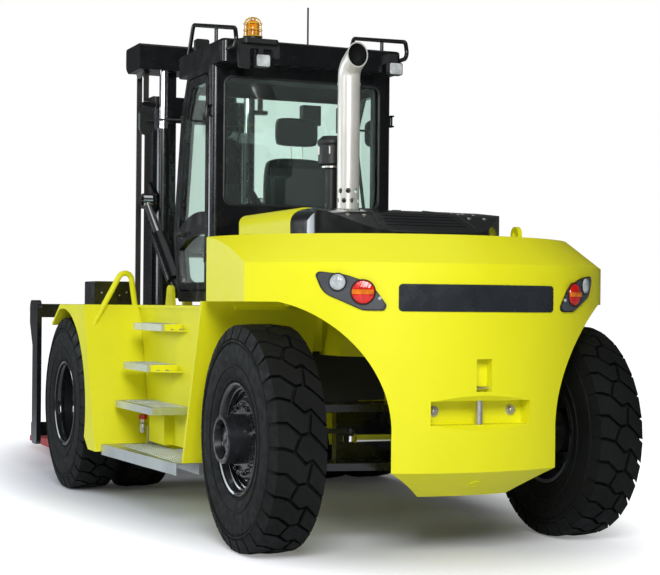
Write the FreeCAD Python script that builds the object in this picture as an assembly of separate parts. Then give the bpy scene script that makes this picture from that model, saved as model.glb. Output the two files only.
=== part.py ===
import FreeCAD, Part
import math
import os

# Heavy counterbalance forklift on dual drive tyres, as an assembly of separate pieces.
# Millimetres. +X points to the forks, +Y to the left, +Z up, and the floor is Z = 0.
# Stations are measured forward from the steer axle; SHIFT_X then puts the origin under the
# middle of the whole length.

V = FreeCAD.Vector
UP = V(0, 0, 1)
ACROSS = V(0, 1, 0)
ALONG = V(1, 0, 0)

# ---- driving dimensions ----
WHEELBASE = 3180
OVERALL_WIDTH = 2560
TYRE_OD = 1232
TYRE_WIDTH = 315
TREAD_ROWS = 30
TREAD_GROOVE = 22
TREAD_DEPTH = 26
RIM_DIAMETER = 610
STEER_TRACK = 1900
DUAL_SPACING = 385
FENDER_GAP = 93
ARCH_GAP = 120
TAIL_X = -755
FORK_TIP_X = 6620
ARM_GAP = 5
SEAT = 0.3
RUN = 0.05

DECK_TOP = TYRE_OD + FENDER_GAP
SHIFT_X = -(TAIL_X + FORK_TIP_X) / 2
TYRE_R = TYRE_OD / 2
WHEEL_Z = TYRE_R
RIM_R = RIM_DIAMETER / 2
HALF_WIDTH = OVERALL_WIDTH / 2
PLATE = 20

# Steering: the kingpins stand just inside the tyres, and each tyre sweeps a round arch.
KINGPIN_Y = 760
STEER_WHEEL_Y = STEER_TRACK / 2
ARCH_R = 715
ARCH_WALL_TOP = 650
ARCH_MID = (600, TYRE_OD - 124)
ARCH_CROWN = (380, TYRE_OD + ARCH_GAP)

AXLE_PLATE = 40
AXLE_PLATES_Z = (WHEEL_Z - 180, WHEEL_Z + 140)
AXLE_PIVOT_Z = WHEEL_Z + 290
AXLE_PIVOT_R = 70
SPINE_BOTTOM = AXLE_PIVOT_Z + AXLE_PIVOT_R + 64
STEER_ROD_X = -150
STEER_ROD_Z = WHEEL_Z
STEER_ROD_R = 25
STEER_ARM = 160
STEER_ARM_ANGLE = 20
TIE_INNER_Y = 490
TIE_PIN_R = 16

# Counterweight: a casting turned about one upright axis, trimmed to the truck's width.
WEIGHT_AXIS_X = 545
WEIGHT_R = WEIGHT_AXIS_X - TAIL_X
WEIGHT_HALF_Y = 1104
WEIGHT_FRONT_X = 480
WEIGHT_BOTTOM = 334
BAND_BOTTOM = ARCH_CROWN[1]
WEIGHT_EDGE = BAND_BOTTOM + 206
WEIGHT_TOP = BAND_BOTTOM + 363
TANK_SIDE_Y = 890
TOW_POCKET_Y = 293
TOW_POCKET_Z = (722, 847)
TOW_PIN_R = 20
TOW_BEVEL = 28
LAMP_Y = (609, 721)
LAMP_Z = (BAND_BOTTOM + 54, BAND_BOTTOM + 101)
LAMP_R = (60, 42)
BEZEL = 14

# Hood and engine bay
HOOD_HALF_Y = 600
HOOD_TOP = DECK_TOP + 575
HOOD_SEAM_X = 480
HOOD_WALL = 20
LID_SHOULDER = 85
LID_TAIL_Z = HOOD_TOP - 155
LID_LOW = HOOD_TOP - 400
LID_HIGH = HOOD_TOP + 100
LID_CORNER_R = 220
LOUVRES = 9
LOUVRE_PITCH = 38
LOUVRE_GAP = 14
HOOD_REAR_X = -160
HOOD_FRONT_X = 1420
LID_HINGE_X = 900
LID_HINGE_Z = HOOD_TOP + 20
HINGE_Y = (-280, 280)
HINGE_PIN_R = 7
HOOD_LIP_Y = 430
ENGINE_HALF_Y = 330

# Steps: each tread is (top, outer half width, rear end, front end)
STEPS = ((1206, 1020, 1610, 2250), (945, 1085, 1690, 2250), (690, 1140, 1400, 2240))
STEP_EDGE = 45
STEP_SHEET = 6
SILL_TOP = 400
SILL_X = (860, 2220)
SILL_Y = (1150, 1240)
SILL_DEPTH = 70
HANGER_X = (1000, 2100)
SLANT = 0.341
SLANT_PLATE = 30
TANK_BOTTOM = 425

# Exhaust
STACK_X = 1060
STACK_Y = -20
STACK_R = 70
STACK_BORE = 63
STACK_BEND_Z = HOOD_TOP + 920
STACK_MOUTH_X = 930
STACK_HOLE_R = 16
STACK_HOLES = 8

# Cab
CAB_REAR_X = 1760
CAB_HALF_Y = 650
CAB_FLOOR = DECK_TOP + 25
CAB_ROOF_BOTTOM = DECK_TOP + 1575
CAB_ROOF_TOP = CAB_ROOF_BOTTOM + 150
CAB_WALL = 45
CAB_POST_R = 44
PANE = 6
DOOR_GAP = 8
DOOR_Z = (CAB_FLOOR + 80, CAB_ROOF_BOTTOM - 50)
WAIST_FRONT = DECK_TOP + 525
WAIST_MID = DECK_TOP + 600
WAIST_REAR = DECK_TOP + 620
WAIST_BAND = 148
WINDOW_HALF_Y = 560
COLUMN_FOOT = V(2310, 0, CAB_FLOOR + CAB_WALL)
COLUMN_TOP = V(2300, 0, CAB_FLOOR + 550)
COLUMN_R = 34
COLUMN_SHAFT_R = 15
SEAT_PAN_Z = CAB_FLOOR + 350
WINDOW_REAR_Z = (DECK_TOP + 660, CAB_ROOF_BOTTOM - 70)
WINDOW_FRONT_Z = (CAB_FLOOR + 130, CAB_ROOF_BOTTOM - 70)
DOOR_AXIS = (CAB_REAR_X + 46, CAB_HALF_Y + 16)
DOOR_HINGES_Z = (CAB_FLOOR + 290, CAB_ROOF_BOTTOM - 300)
MIRROR_Y = 860
MIRROR_Z = CAB_ROOF_BOTTOM - 300
ROOF_REAR_X = 1590
ROOF_FRONT_X = 2520
ROOF_RAIL_Y = 600

# Drive axle and mast
DRIVE_X = WHEELBASE
DRIVE_OUTER_Y = HALF_WIDTH - TYRE_WIDTH / 2
DRIVE_INNER_Y = DRIVE_OUTER_Y - DUAL_SPACING
AXLE_TUBE_R = 130
DRIVE_SPINDLE_R = 90
DRIVE_SPINDLE = 80
STEER_SPINDLE_R = 50
STEER_SPINDLE = 150
HUB_CUP_R = 130
HUB_CUP_END = 228
HUB_FLANGE_R = 220
KINGPIN_R = 35
MAST_PIVOT = (3780, 500)
MAST_PIN_R = 40
MAST_REAR_X = 3860
OUTER_RAIL_Y = (300, 415)
OUTER_RAIL_DEPTH = 240
OUTER_RAIL_Z = (300, 2960)
INNER_RAIL_Y = (215, 290)
INNER_RAIL_Z = (250, 3150)
HEAD_X = (3745, 4140)
HEAD_Z = (3150, 3350)
HEAD_HALF_Y = 560
LIFT_X = 3800
LIFT_Y = 350
LIFT_BARREL_Z = (790, 2700)
CHAIN_Y = 475
CHAIN_HALF = 20
CHAIN_PITCH = 110
SHEAVE_X = 3950
SHEAVE_R = 85
TILT_PIN_FRAME = (2950, DECK_TOP + 95)
TILT_PIN_MAST = (3800, 2130)
TILT_Y = 480
TILT_ROD_R = 32
TILT_EYE_R = 37
LIFT_ROD_R = 34

# Carriage and forks
CARRIAGE_HALF_Y = 1275
CARRIAGE_X = 4120
CARRIAGE_Z = (240, 1354)
FORK_Y = 720
FORK_WIDTH = 220
FORK_THICK = 95
FORK_HEEL_X = 4230
FORK_BOTTOM = 70


# ---- helpers ----
PLANES = {
    "xz": (lambda a, b: V(a, 0, b), ACROSS),
    "xy": (lambda a, b: V(a, b, 0), UP),
    "yz": (lambda a, b: V(0, a, b), ALONG),
}


def outline(plane, corners):
    """Face in a coordinate plane; a corner is (a, b) or (a, b, radius)."""
    place = PLANES[plane][0]
    points = [place(c[0], c[1]) for c in corners]
    radii = [c[2] if len(c) > 2 else 0 for c in corners]
    count = len(points)
    starts, ends, middles = [], [], []
    for i in range(count):
        p = points[i]
        back = (points[i - 1] - p).normalize()
        on = (points[(i + 1) % count] - p).normalize()
        half = back.getAngle(on) / 2
        reach = radii[i] / math.tan(half) if radii[i] else 0
        starts.append(p + back * reach)
        ends.append(p + on * reach)
        to_centre = radii[i] / math.sin(half) if radii[i] else 0
        inward = (back + on).normalize() if radii[i] else V()
        middles.append(p + inward * (to_centre - radii[i]))
    edges = []
    for i in range(count):
        if radii[i]:
            edges.append(Part.Arc(starts[i], middles[i], ends[i]).toShape())
        after = (i + 1) % count
        if (starts[after] - ends[i]).Length > 1e-6:
            edges.append(Part.LineSegment(ends[i], starts[after]).toShape())
    return Part.Face(Part.Wire(Part.__sortEdges__(edges)))


def prism(plane, corners, low, high):
    """Outline swept square to its plane, from low to high."""
    normal = PLANES[plane][1]
    face = outline(plane, corners)
    face.translate(normal * low)
    return face.extrude(normal * (high - low))


def box(x, y, z):
    """Box from (low, high) pairs."""
    return Part.makeBox(x[1] - x[0], y[1] - y[0], z[1] - z[0], V(x[0], y[0], z[0]))


def rod(start, end, radius):
    start, end = V(*start), V(*end)
    return Part.makeCylinder(radius, (end - start).Length, start, end - start)


def ring(start, end, radius, bore):
    return rod(start, end, radius).cut(rod(start, end, bore))


def turned(profile, centre, axis):
    """Solid turned about an axis; the profile holds (along, radius) corners."""
    centre, axis = V(*centre), V(*axis)
    side = V(1, 0, 0) if abs(axis.x) < 0.5 else V(0, 0, 1)
    points = [centre + axis * p[0] + side * p[1] for p in profile]
    face = Part.Face(Part.makePolygon(points + [points[0]]))
    return face.revolve(centre, axis, 360)


def bent_tube(points, radius, bend):
    """Round tube along a polyline whose inner corners are rounded."""
    points = [V(*p) for p in points]
    edges, at = [], points[0]
    for i in range(1, len(points) - 1):
        back = (points[i - 1] - points[i]).normalize()
        on = (points[i + 1] - points[i]).normalize()
        half = back.getAngle(on) / 2
        reach = bend / math.tan(half)
        start, end = points[i] + back * reach, points[i] + on * reach
        middle = points[i] + (back + on).normalize() * (bend / math.sin(half) - bend)
        edges.append(Part.LineSegment(at, start).toShape())
        edges.append(Part.Arc(start, middle, end).toShape())
        at = end
    edges.append(Part.LineSegment(at, points[-1]).toShape())
    spine = Part.Wire(edges)
    section = Part.Wire(Part.makeCircle(radius, points[0], points[1] - points[0]))
    return spine.makePipeShell([section], True, False)


def fuse(shapes):
    first, rest = shapes[0], shapes[1:]
    return first.fuse(rest).removeSplitter() if rest else first


def other_side(shape):
    return shape.mirror(V(), ACROSS)


def both(shape):
    """A piece and its mirror image, as solids that don't touch."""
    return Part.makeCompound([shape, other_side(shape)])


def save(name, shape):
    moved = shape.copy()
    moved.translate(V(SHIFT_X, 0, 0))
    moved.exportStep("parts/" + name + ".step")


# ---- wheels ----
def faceted(profile, centre, sides):
    """Solid round a lateral axis with flat sides, one of them underneath; (along, apothem) corners."""
    step = 2 * math.pi / sides
    rings = []
    for along, apothem in profile:
        radius = apothem / math.cos(step / 2)
        rings.append([V(*centre) + V(radius * math.sin(step * (i + 0.5)), along,
                                     -radius * math.cos(step * (i + 0.5))) for i in range(sides)])
    faces = []
    for k in range(len(rings)):
        near, far = rings[k - 1], rings[k]
        for i in range(sides):
            faces.append(Part.Face(Part.makePolygon([near[i - 1], near[i], far[i], far[i - 1],
                                                     near[i - 1]])))
    solid = Part.makeSolid(Part.makeShell(faces))
    solid.fixTolerance(1e-5)
    return solid


def tyre(y):
    """Pneumatic tyre with one bar of tread on each flat, and grooves that run out on the shoulders."""
    half = TYRE_WIDTH / 2
    bead = half - 32
    profile = [(-bead, RIM_R), (-half, RIM_R + 75), (-half + 6, TYRE_R - 60), (-half + 28, TYRE_R),
               (half - 28, TYRE_R), (half - 6, TYRE_R - 60), (half, RIM_R + 75), (bead, RIM_R)]
    body = faceted(profile, (0, y, WHEEL_Z), TREAD_ROWS)
    floor = TYRE_R - TREAD_DEPTH
    groove = [(y - half - 10, floor - 45), (y - half + 40, floor), (y + half - 40, floor),
              (y + half + 10, floor - 45), (y + half + 10, TYRE_R + 20), (y - half - 10, TYRE_R + 20)]
    grooves = []
    for i in range(TREAD_ROWS):
        cutter = prism("yz", groove, -TREAD_GROOVE / 2, TREAD_GROOVE / 2)
        cutter.rotate(V(), ACROSS, (i + 0.5) * 360 / TREAD_ROWS)
        cutter.translate(V(0, 0, WHEEL_Z))
        grooves.append(cutter)
    return body.cut(grooves)


def steer_rim(y):
    """Rim band, dished disc and hub of the left steer wheel."""
    bore = STEER_SPINDLE_R + RUN
    lip = TYRE_WIDTH / 2 - 20
    profile = [(-lip, RIM_R), (-lip, RIM_R - 22), (30, RIM_R - 22), (30, 130), (-70, 130), (-70, bore),
               (STEER_SPINDLE + 5, bore), (STEER_SPINDLE + 5, 0), (STEER_SPINDLE + 20, 0),
               (STEER_SPINDLE + 20, HUB_CUP_R - 34), (HUB_CUP_END, HUB_CUP_R - 24),
               (HUB_CUP_END, HUB_CUP_R - 6), (HUB_CUP_END - 8, HUB_CUP_R), (100, HUB_CUP_R + 6),
               (100, HUB_FLANGE_R - 14), (88, HUB_FLANGE_R), (60, HUB_FLANGE_R), (60, RIM_R - 40), (lip - 10, RIM_R - 22), (lip, RIM_R - 16), (lip, RIM_R)]
    return turned(profile, (0, y, WHEEL_Z), (0, 1, 0))


def drive_rim():
    """Band for two tyres, disc between them and the planetary hub of the left drive wheels."""
    lip = TYRE_WIDTH / 2 - 20
    mid = (DRIVE_OUTER_Y + DRIVE_INNER_Y) / 2
    inner, outer = DRIVE_INNER_Y - lip - mid, DRIVE_OUTER_Y + lip - mid
    profile = [(inner, RIM_R), (inner, RIM_R - 22), (-12, RIM_R - 22), (-12, 0), (150, 0), (150, 120),
               (120, 170), (12, 190), (12, RIM_R - 22), (outer, RIM_R - 22), (outer, RIM_R)]
    rim = turned(profile, (DRIVE_X, mid, WHEEL_Z), (0, 1, 0))
    return rim.cut(rod((DRIVE_X, mid - 20, WHEEL_Z), (DRIVE_X, mid - 12 + DRIVE_SPINDLE + ARM_GAP, WHEEL_Z),
                       DRIVE_SPINDLE_R + RUN))


# ---- axles ----
def steer_axle():
    """Two plates joined by a front web, with the steering cylinder between them."""
    plate = [(-150, -330, 60), (-150, 330, 60), (-85, 620, 60), (-85, KINGPIN_Y + 85, 80),
             (85, KINGPIN_Y + 85, 80), (85, 620, 60), (150, 330, 60), (150, -330, 60),
             (85, -620, 60), (85, -KINGPIN_Y - 85, 80), (-85, -KINGPIN_Y - 85, 80), (-85, -620, 60)]
    parts = [prism("xy", plate, z, z + AXLE_PLATE) for z in AXLE_PLATES_Z]
    parts.append(box((60, 120), (-480, 480), (AXLE_PLATES_Z[0] + 5, AXLE_PLATES_Z[1] + 5)))
    parts.append(rod((-230, 0, AXLE_PIVOT_Z), (230, 0, AXLE_PIVOT_Z), AXLE_PIVOT_R))
    parts.append(box((-120, 120), (-120, 120), (AXLE_PLATES_Z[1] + 5, AXLE_PIVOT_Z)))
    for y in (-200, 170):
        parts.append(box((STEER_ROD_X - 40, 70), (y, y + 30), (WHEEL_Z - 80, AXLE_PLATES_Z[1] + 5)))
    barrel = ring((STEER_ROD_X, -210, STEER_ROD_Z), (STEER_ROD_X, 210, STEER_ROD_Z), 52,
                  STEER_ROD_R + RUN)
    parts.append(barrel)
    axle = fuse(parts)
    low, high = AXLE_PLATES_Z[0] - 10, AXLE_PLATES_Z[1] + AXLE_PLATE + 10
    for y in (KINGPIN_Y, -KINGPIN_Y):
        axle = axle.cut(rod((0, y, low), (0, y, high), KINGPIN_R + RUN))
    return axle.cut(rod((STEER_ROD_X, -300, STEER_ROD_Z), (STEER_ROD_X, 300, STEER_ROD_Z),
                        STEER_ROD_R + RUN))


def steer_rod():
    """Double-ended rod of the steering cylinder, with a flat eye at each end."""
    shaft = rod((STEER_ROD_X, -460, STEER_ROD_Z), (STEER_ROD_X, 460, STEER_ROD_Z), STEER_ROD_R)
    eyes = [ring((STEER_ROD_X, s * TIE_INNER_Y, STEER_ROD_Z - 15), (STEER_ROD_X, s * TIE_INNER_Y,
            STEER_ROD_Z + 15), 38, TIE_PIN_R) for s in (1, -1)]
    return fuse([shaft] + eyes)


def arm_end():
    """Centre of the left steering arm's pin, as (x, y)."""
    angle = math.radians(STEER_ARM_ANGLE)
    return -STEER_ARM * math.cos(angle), KINGPIN_Y - STEER_ARM * math.sin(angle)


def knuckle():
    """Left knuckle: block round the kingpin, steering arm, and the spindle for the hub."""
    low, high = AXLE_PLATES_Z[0] + AXLE_PLATE + ARM_GAP, AXLE_PLATES_Z[1] - ARM_GAP
    block = rod((0, KINGPIN_Y, low), (0, KINGPIN_Y, high), 70)
    pin = rod((0, KINGPIN_Y, AXLE_PLATES_Z[0]), (0, KINGPIN_Y, AXLE_PLATES_Z[1] + AXLE_PLATE), KINGPIN_R)
    spindle = rod((0, KINGPIN_Y, WHEEL_Z), (0, STEER_WHEEL_Y + STEER_SPINDLE, WHEEL_Z), STEER_SPINDLE_R)
    x, y = arm_end()
    level = STEER_ROD_Z - 15
    end = rod((x, y, level), (x, y, level + 30), 32)
    arm = prism("xy", [(0, KINGPIN_Y - 45), (x, y - 28), (x, y + 28), (0, KINGPIN_Y + 25)], level,
                level + 30)
    return fuse([block, pin, spindle, end, arm]).cut(rod((x, y, 0), (x, y, 900), TIE_PIN_R + RUN))


def tie_link():
    """Left link from the steering arm to the rod's eye."""
    x, y = arm_end()
    level = STEER_ROD_Z + STEER_ROD_R + ARM_GAP
    pin = rod((x, y, level - 50), (x, y, level + 5), TIE_PIN_R)
    ends = [rod((px, py, level), (px, py, level + 25), 30) for px, py in ((x, y), (STEER_ROD_X,
            TIE_INNER_Y))]
    bar = prism("xy", [(x - 18, y), (x + 18, y), (STEER_ROD_X + 18, TIE_INNER_Y),
                       (STEER_ROD_X - 18, TIE_INNER_Y)], level, level + 25)
    return fuse([pin, bar] + ends)


def drive_axle():
    disc_y = (DRIVE_OUTER_Y + DRIVE_INNER_Y) / 2 - 12
    tube = rod((DRIVE_X, -disc_y + 20, WHEEL_Z), (DRIVE_X, disc_y - 20, WHEEL_Z), AXLE_TUBE_R)
    end = disc_y + DRIVE_SPINDLE
    spindles = rod((DRIVE_X, -end, WHEEL_Z), (DRIVE_X, end, WHEEL_Z), DRIVE_SPINDLE_R)
    middle = Part.makeSphere(270, V(DRIVE_X, 0, WHEEL_Z))
    return fuse([tube, spindles, middle])


# ---- chassis ----
def arch():
    """Space swept by the left steer tyre about its kingpin."""
    low = Part.LineSegment(V(ARCH_R, 0, -10), V(ARCH_R, 0, ARCH_WALL_TOP)).toShape()
    curve = Part.Arc(V(ARCH_R, 0, ARCH_WALL_TOP), V(ARCH_MID[0], 0, ARCH_MID[1]),
                     V(ARCH_CROWN[0], 0, ARCH_CROWN[1])).toShape()
    top = Part.LineSegment(V(ARCH_CROWN[0], 0, ARCH_CROWN[1]), V(0, 0, ARCH_CROWN[1])).toShape()
    axis = Part.LineSegment(V(0, 0, ARCH_CROWN[1]), V(0, 0, -10)).toShape()
    floor = Part.LineSegment(V(0, 0, -10), V(ARCH_R, 0, -10)).toShape()
    face = Part.Face(Part.Wire([low, curve, top, axis, floor]))
    solid = face.revolve(V(), UP, 360)
    solid.translate(V(0, KINGPIN_Y, 0))
    return solid


def counterweight(arches):
    profile = [(WEIGHT_BOTTOM, 0), (WEIGHT_BOTTOM, 1095), (478, WEIGHT_R), (WEIGHT_EDGE, WEIGHT_R),
               (WEIGHT_TOP, 1100), (WEIGHT_TOP, 0)]
    body = turned(profile, (WEIGHT_AXIS_X, 0, 0), (0, 0, 1))
    body = body.common(box((TAIL_X - 10, WEIGHT_FRONT_X), (-WEIGHT_HALF_Y, WEIGHT_HALF_Y), (0, 2000)))
    bay = box((HOOD_REAR_X - 10, 600), (-HOOD_HALF_Y - 10, HOOD_HALF_Y + 10), (BAND_BOTTOM, 2000))
    axle_room = box((-250, 600), (-1200, 1200), (0, BAND_BOTTOM))
    body = body.cut([bay, axle_room] + arches)
    tow_pocket = box((TAIL_X - 10, TAIL_X + 130), (-TOW_POCKET_Y, TOW_POCKET_Y), TOW_POCKET_Z)
    slot = box((TAIL_X - 10, TAIL_X + 60), (-45, 45), (894, 1064))
    low, high = TOW_POCKET_Z
    mouth = []
    for x, grow in ((TAIL_X - 2, TOW_BEVEL + 2), (TAIL_X + TOW_BEVEL, 0)):
        y = TOW_POCKET_Y + grow
        mouth.append(Part.makePolygon([V(x, -y, low - grow), V(x, y, low - grow), V(x, y, high + grow),
                                       V(x, -y, high + grow), V(x, -y, low - grow)]))
    body = body.cut([tow_pocket, slot, Part.makeLoft(mouth, True, True)])
    eye_z = WEIGHT_TOP + 45
    eye_hole = rod((100, -700, eye_z), (100, -650, eye_z), 20)
    eye = fuse([rod((100, -690, eye_z), (100, -664, eye_z), 45),
                box((40, 160), (-690, -664), (WEIGHT_TOP - 5, WEIGHT_TOP + 20))]).cut(eye_hole)
    return fuse([body, eye])


def side_rail():
    """One main frame plate, from the engine bay to the mast pivot."""
    corners = [(820, 640, 60), (2600, 430, 80), (3700, 380, 60), (3838, 420, 70), (3838, 600, 70),
               (3560, 760, 80), (3480, DECK_TOP - PLATE), (700, DECK_TOP - PLATE), (700, 1050, 60)]
    plate = prism("xz", corners, 380, 420)
    axle_hole = rod((DRIVE_X, 300, WHEEL_Z), (DRIVE_X, 500, WHEEL_Z), AXLE_TUBE_R + SEAT)
    pin = (MAST_PIVOT[0], MAST_PIVOT[1])
    pin_hole = rod((pin[0], 300, pin[1]), (pin[0], 500, pin[1]), MAST_PIN_R + RUN)
    return plate.cut([axle_hole, pin_hole])


def fender():
    """Left front mudguard: top plate, outer skirt with the wheel arch and sloping rear wall."""
    top = box((2560, 3265), (420, HALF_WIDTH), (DECK_TOP - PLATE, DECK_TOP))
    nose = prism("xz", [(3265, DECK_TOP), (3520, DECK_TOP - 141), (3505, DECK_TOP - 155),
                         (3255, DECK_TOP - PLATE)],
                 420, HALF_WIDTH)
    skirt = prism("xz", [(2560, DECK_TOP), (2230, 350), (2330, 350), (2560, DECK_TOP - 505),
                         (3265, DECK_TOP)],
                  HALF_WIDTH - PLATE, HALF_WIDTH)
    face = prism("xz", [(2560, DECK_TOP), (3265, DECK_TOP), (3520, DECK_TOP - 141),
                        (3420, DECK_TOP - 275), (2420, 350),
                        (2230, 350)], HALF_WIDTH - PLATE, HALF_WIDTH)
    arch_cut = rod((DRIVE_X, HALF_WIDTH - 60, WHEEL_Z), (DRIVE_X, HALF_WIDTH + 60, WHEEL_Z), TYRE_R + 62)
    skirt = fuse([skirt, face]).cut(arch_cut)
    wall = prism("xz", [(2560, DECK_TOP), (2230, 350), (2250, 350), (2580, DECK_TOP)], 420, HALF_WIDTH)
    return fuse([top, nose, skirt, wall])


def slant_x(z):
    """Rear face of the slanted plate at height z."""
    return 553 + (BAND_BOTTOM - z) * SLANT


def rear_plate():
    """Left slanted plate between the steer wheel and the steps."""
    low = SILL_TOP + SEAT
    plate = prism("xz", [(slant_x(BAND_BOTTOM), BAND_BOTTOM), (slant_x(low), low),
                         (slant_x(low) + SLANT_PLATE, low), (slant_x(BAND_BOTTOM) + SLANT_PLATE, BAND_BOTTOM)],
                  380, WEIGHT_HALF_Y)
    return plate.cut(box((500, 700), (300, HOOD_HALF_Y + ARM_GAP), (DECK_TOP, BAND_BOTTOM + 10)))


def tilt_bracket():
    """Pair of lugs that carry the pin of the left tilt cylinder."""
    top = TILT_PIN_FRAME[1] + 50
    lug = prism("xz", [(TILT_PIN_FRAME[0] - 90, DECK_TOP - 5), (TILT_PIN_FRAME[0] - 50, top, 50),
                       (TILT_PIN_FRAME[0] + 50, top, 50), (TILT_PIN_FRAME[0] + 90, DECK_TOP - 5)],
                TILT_Y - 75, TILT_Y - 50)
    twin = lug.copy()
    twin.translate(V(0, 125, 0))
    pin = rod((TILT_PIN_FRAME[0], TILT_Y - 80, TILT_PIN_FRAME[1]),
              (TILT_PIN_FRAME[0], TILT_Y + 80, TILT_PIN_FRAME[1]), 25)
    return fuse([lug, twin, pin])


def frame(arches):
    left = [side_rail(), fender(), rear_plate(), tilt_bracket()]
    left.append(box((553, 2560), (380, 900), (DECK_TOP - PLATE, DECK_TOP)))
    left.append(box((2560, 3480), (380, 440), (DECK_TOP - PLATE, DECK_TOP)))
    left.append(rod((DRIVE_X - 260, 380, 900), (DRIVE_X - 260, 0, 900), 60))
    left += [box((x, x + 90), (ENGINE_HALF_Y + SEAT, 380), (880, 980)) for x in (850, 1290)]
    left += [rod((x, 400, DECK_TOP), (x, 400, CAB_FLOOR), 60) for x in (1850, 2330)]
    spine = box((-250 + SEAT, 740), (-300, 300), (SPINE_BOTTOM, BAND_BOTTOM - SEAT)).cut(arches)
    cross = box((2000, 2030), (-400, 400), (500, DECK_TOP - PLATE))
    front = box((2740, 2770), (-400, 400), (500, DECK_TOP - PLATE))
    bay_link = box((700, 740), (-400, 400), (SPINE_BOTTOM + 20, DECK_TOP - PLATE))
    floor = box((HOOD_FRONT_X - HOOD_WALL, 2560), (-400, 400), (DECK_TOP - PLATE, DECK_TOP))
    trunnions = [box((x, x + 60), (-105, 105), (AXLE_PIVOT_Z - 110, SPINE_BOTTOM + 10)) for x in (-230, 170)]
    pivot_hole = rod((-300, 0, AXLE_PIVOT_Z), (300, 0, AXLE_PIVOT_Z), AXLE_PIVOT_R + 0.3)
    trunnions = [t.cut(pivot_hole) for t in trunnions]
    parts = left + [other_side(s) for s in left] + [spine, cross, front, bay_link, floor] + trunnions
    return fuse(parts)


def side_tank():
    """Left tank between the slanted plate and the mudguard, which the steps hang on."""
    top, back = DECK_TOP - PLATE, SLANT_PLATE + 1
    corners = [(slant_x(TANK_BOTTOM) + back, TANK_BOTTOM, 30), (2250, TANK_BOTTOM, 30), (2535, top),
               (slant_x(top) + back, top)]
    tank = prism("xz", corners, 430, TANK_SIDE_Y)
    ears = []
    for top, y_out, x_low, x_high in STEPS[:2]:
        plan = [(x_low - 150, TANK_SIDE_Y - 5), (x_low - 60, y_out - 60, 30), (x_low - SEAT, y_out - 20),
                (x_low - SEAT, TANK_SIDE_Y - 5)]
        ears.append(prism("xy", plan, top - STEP_EDGE, top - STEP_EDGE + 8))
        ears.append(box((x_low - 10, x_low - SEAT), (TANK_SIDE_Y - 5, y_out - 20), (top - STEP_EDGE, top)))
    locker = box((1760, HANGER_X[1] - ARM_GAP), (TANK_SIDE_Y - 5, TANK_SIDE_Y + 60),
                 (TANK_BOTTOM, STEPS[2][0] - STEP_EDGE - SEAT))
    return fuse([tank, locker] + ears)


def step(top, y_out, x_low, x_high):
    """Tread plate with turned-down edges, open underneath."""
    outer = box((x_low, x_high), (TANK_SIDE_Y + SEAT, y_out), (top - STEP_EDGE, top))
    room = box((x_low + STEP_SHEET, x_high - STEP_SHEET),
               (TANK_SIDE_Y + SEAT + STEP_SHEET, y_out - STEP_SHEET),
               (top - STEP_EDGE - 1, top - STEP_SHEET))
    return outer.cut(room)


def sill_step():
    """Lowest tread: a channel whose outer edge runs in towards the rear, on two hangers."""
    inner = TANK_SIDE_Y + SEAT
    rear, front = SILL_Y
    plan = [(SILL_X[0], inner), (SILL_X[1], inner), (SILL_X[1], front), (SILL_X[0], rear)]
    sheet = STEP_SHEET
    hollow = [(SILL_X[0] - 1, inner + 120), (SILL_X[1] + 1, inner + 120),
              (SILL_X[1] + 1, front - sheet), (SILL_X[0] - 1, rear - sheet)]
    tread = prism("xy", plan, SILL_TOP - SILL_DEPTH, SILL_TOP)
    tread = tread.cut(prism("xy", hollow, SILL_TOP - SILL_DEPTH - 1, SILL_TOP - sheet))
    hangers = [box((x, x + 14), (inner, 960), (SILL_TOP - 55, SILL_TOP + 120)) for x in HANGER_X]
    return fuse([tread] + hangers)


def steps():
    left = [step(*each) for each in STEPS] + [sill_step()]
    return Part.makeCompound(left + [other_side(s) for s in left])


def handrails():
    rail = bent_tube([(2530, 1225, DECK_TOP - 145), (2500, 985, DECK_TOP + 320),
                       (2580, 915, DECK_TOP - 10)], 19, 55)
    body = prism("xz", [(2560 - SEAT, DECK_TOP + SEAT), (2230 - SEAT, 350), (3500, 350),
                        (3500, DECK_TOP + SEAT)], 420, HALF_WIDTH)
    return both(rail.cut(body))


def hood_sides():
    """Side panels whose front corners turn in towards the cab."""
    panel = prism("yz", [(HOOD_HALF_Y, DECK_TOP), (HOOD_HALF_Y, HOOD_TOP, 90), (HOOD_LIP_Y, HOOD_TOP),
                         (HOOD_LIP_Y, HOOD_TOP - 25), (HOOD_HALF_Y - 25, HOOD_TOP - 25, 65),
                         (HOOD_HALF_Y - 25, DECK_TOP)], HOOD_SEAM_X, HOOD_FRONT_X)
    plan = prism("xy", [(HOOD_SEAM_X, 0), (HOOD_SEAM_X, HOOD_HALF_Y), (HOOD_FRONT_X, HOOD_HALF_Y, 90),
                        (HOOD_FRONT_X, 0)], DECK_TOP, HOOD_TOP)
    return both(panel.common(plan))


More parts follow.
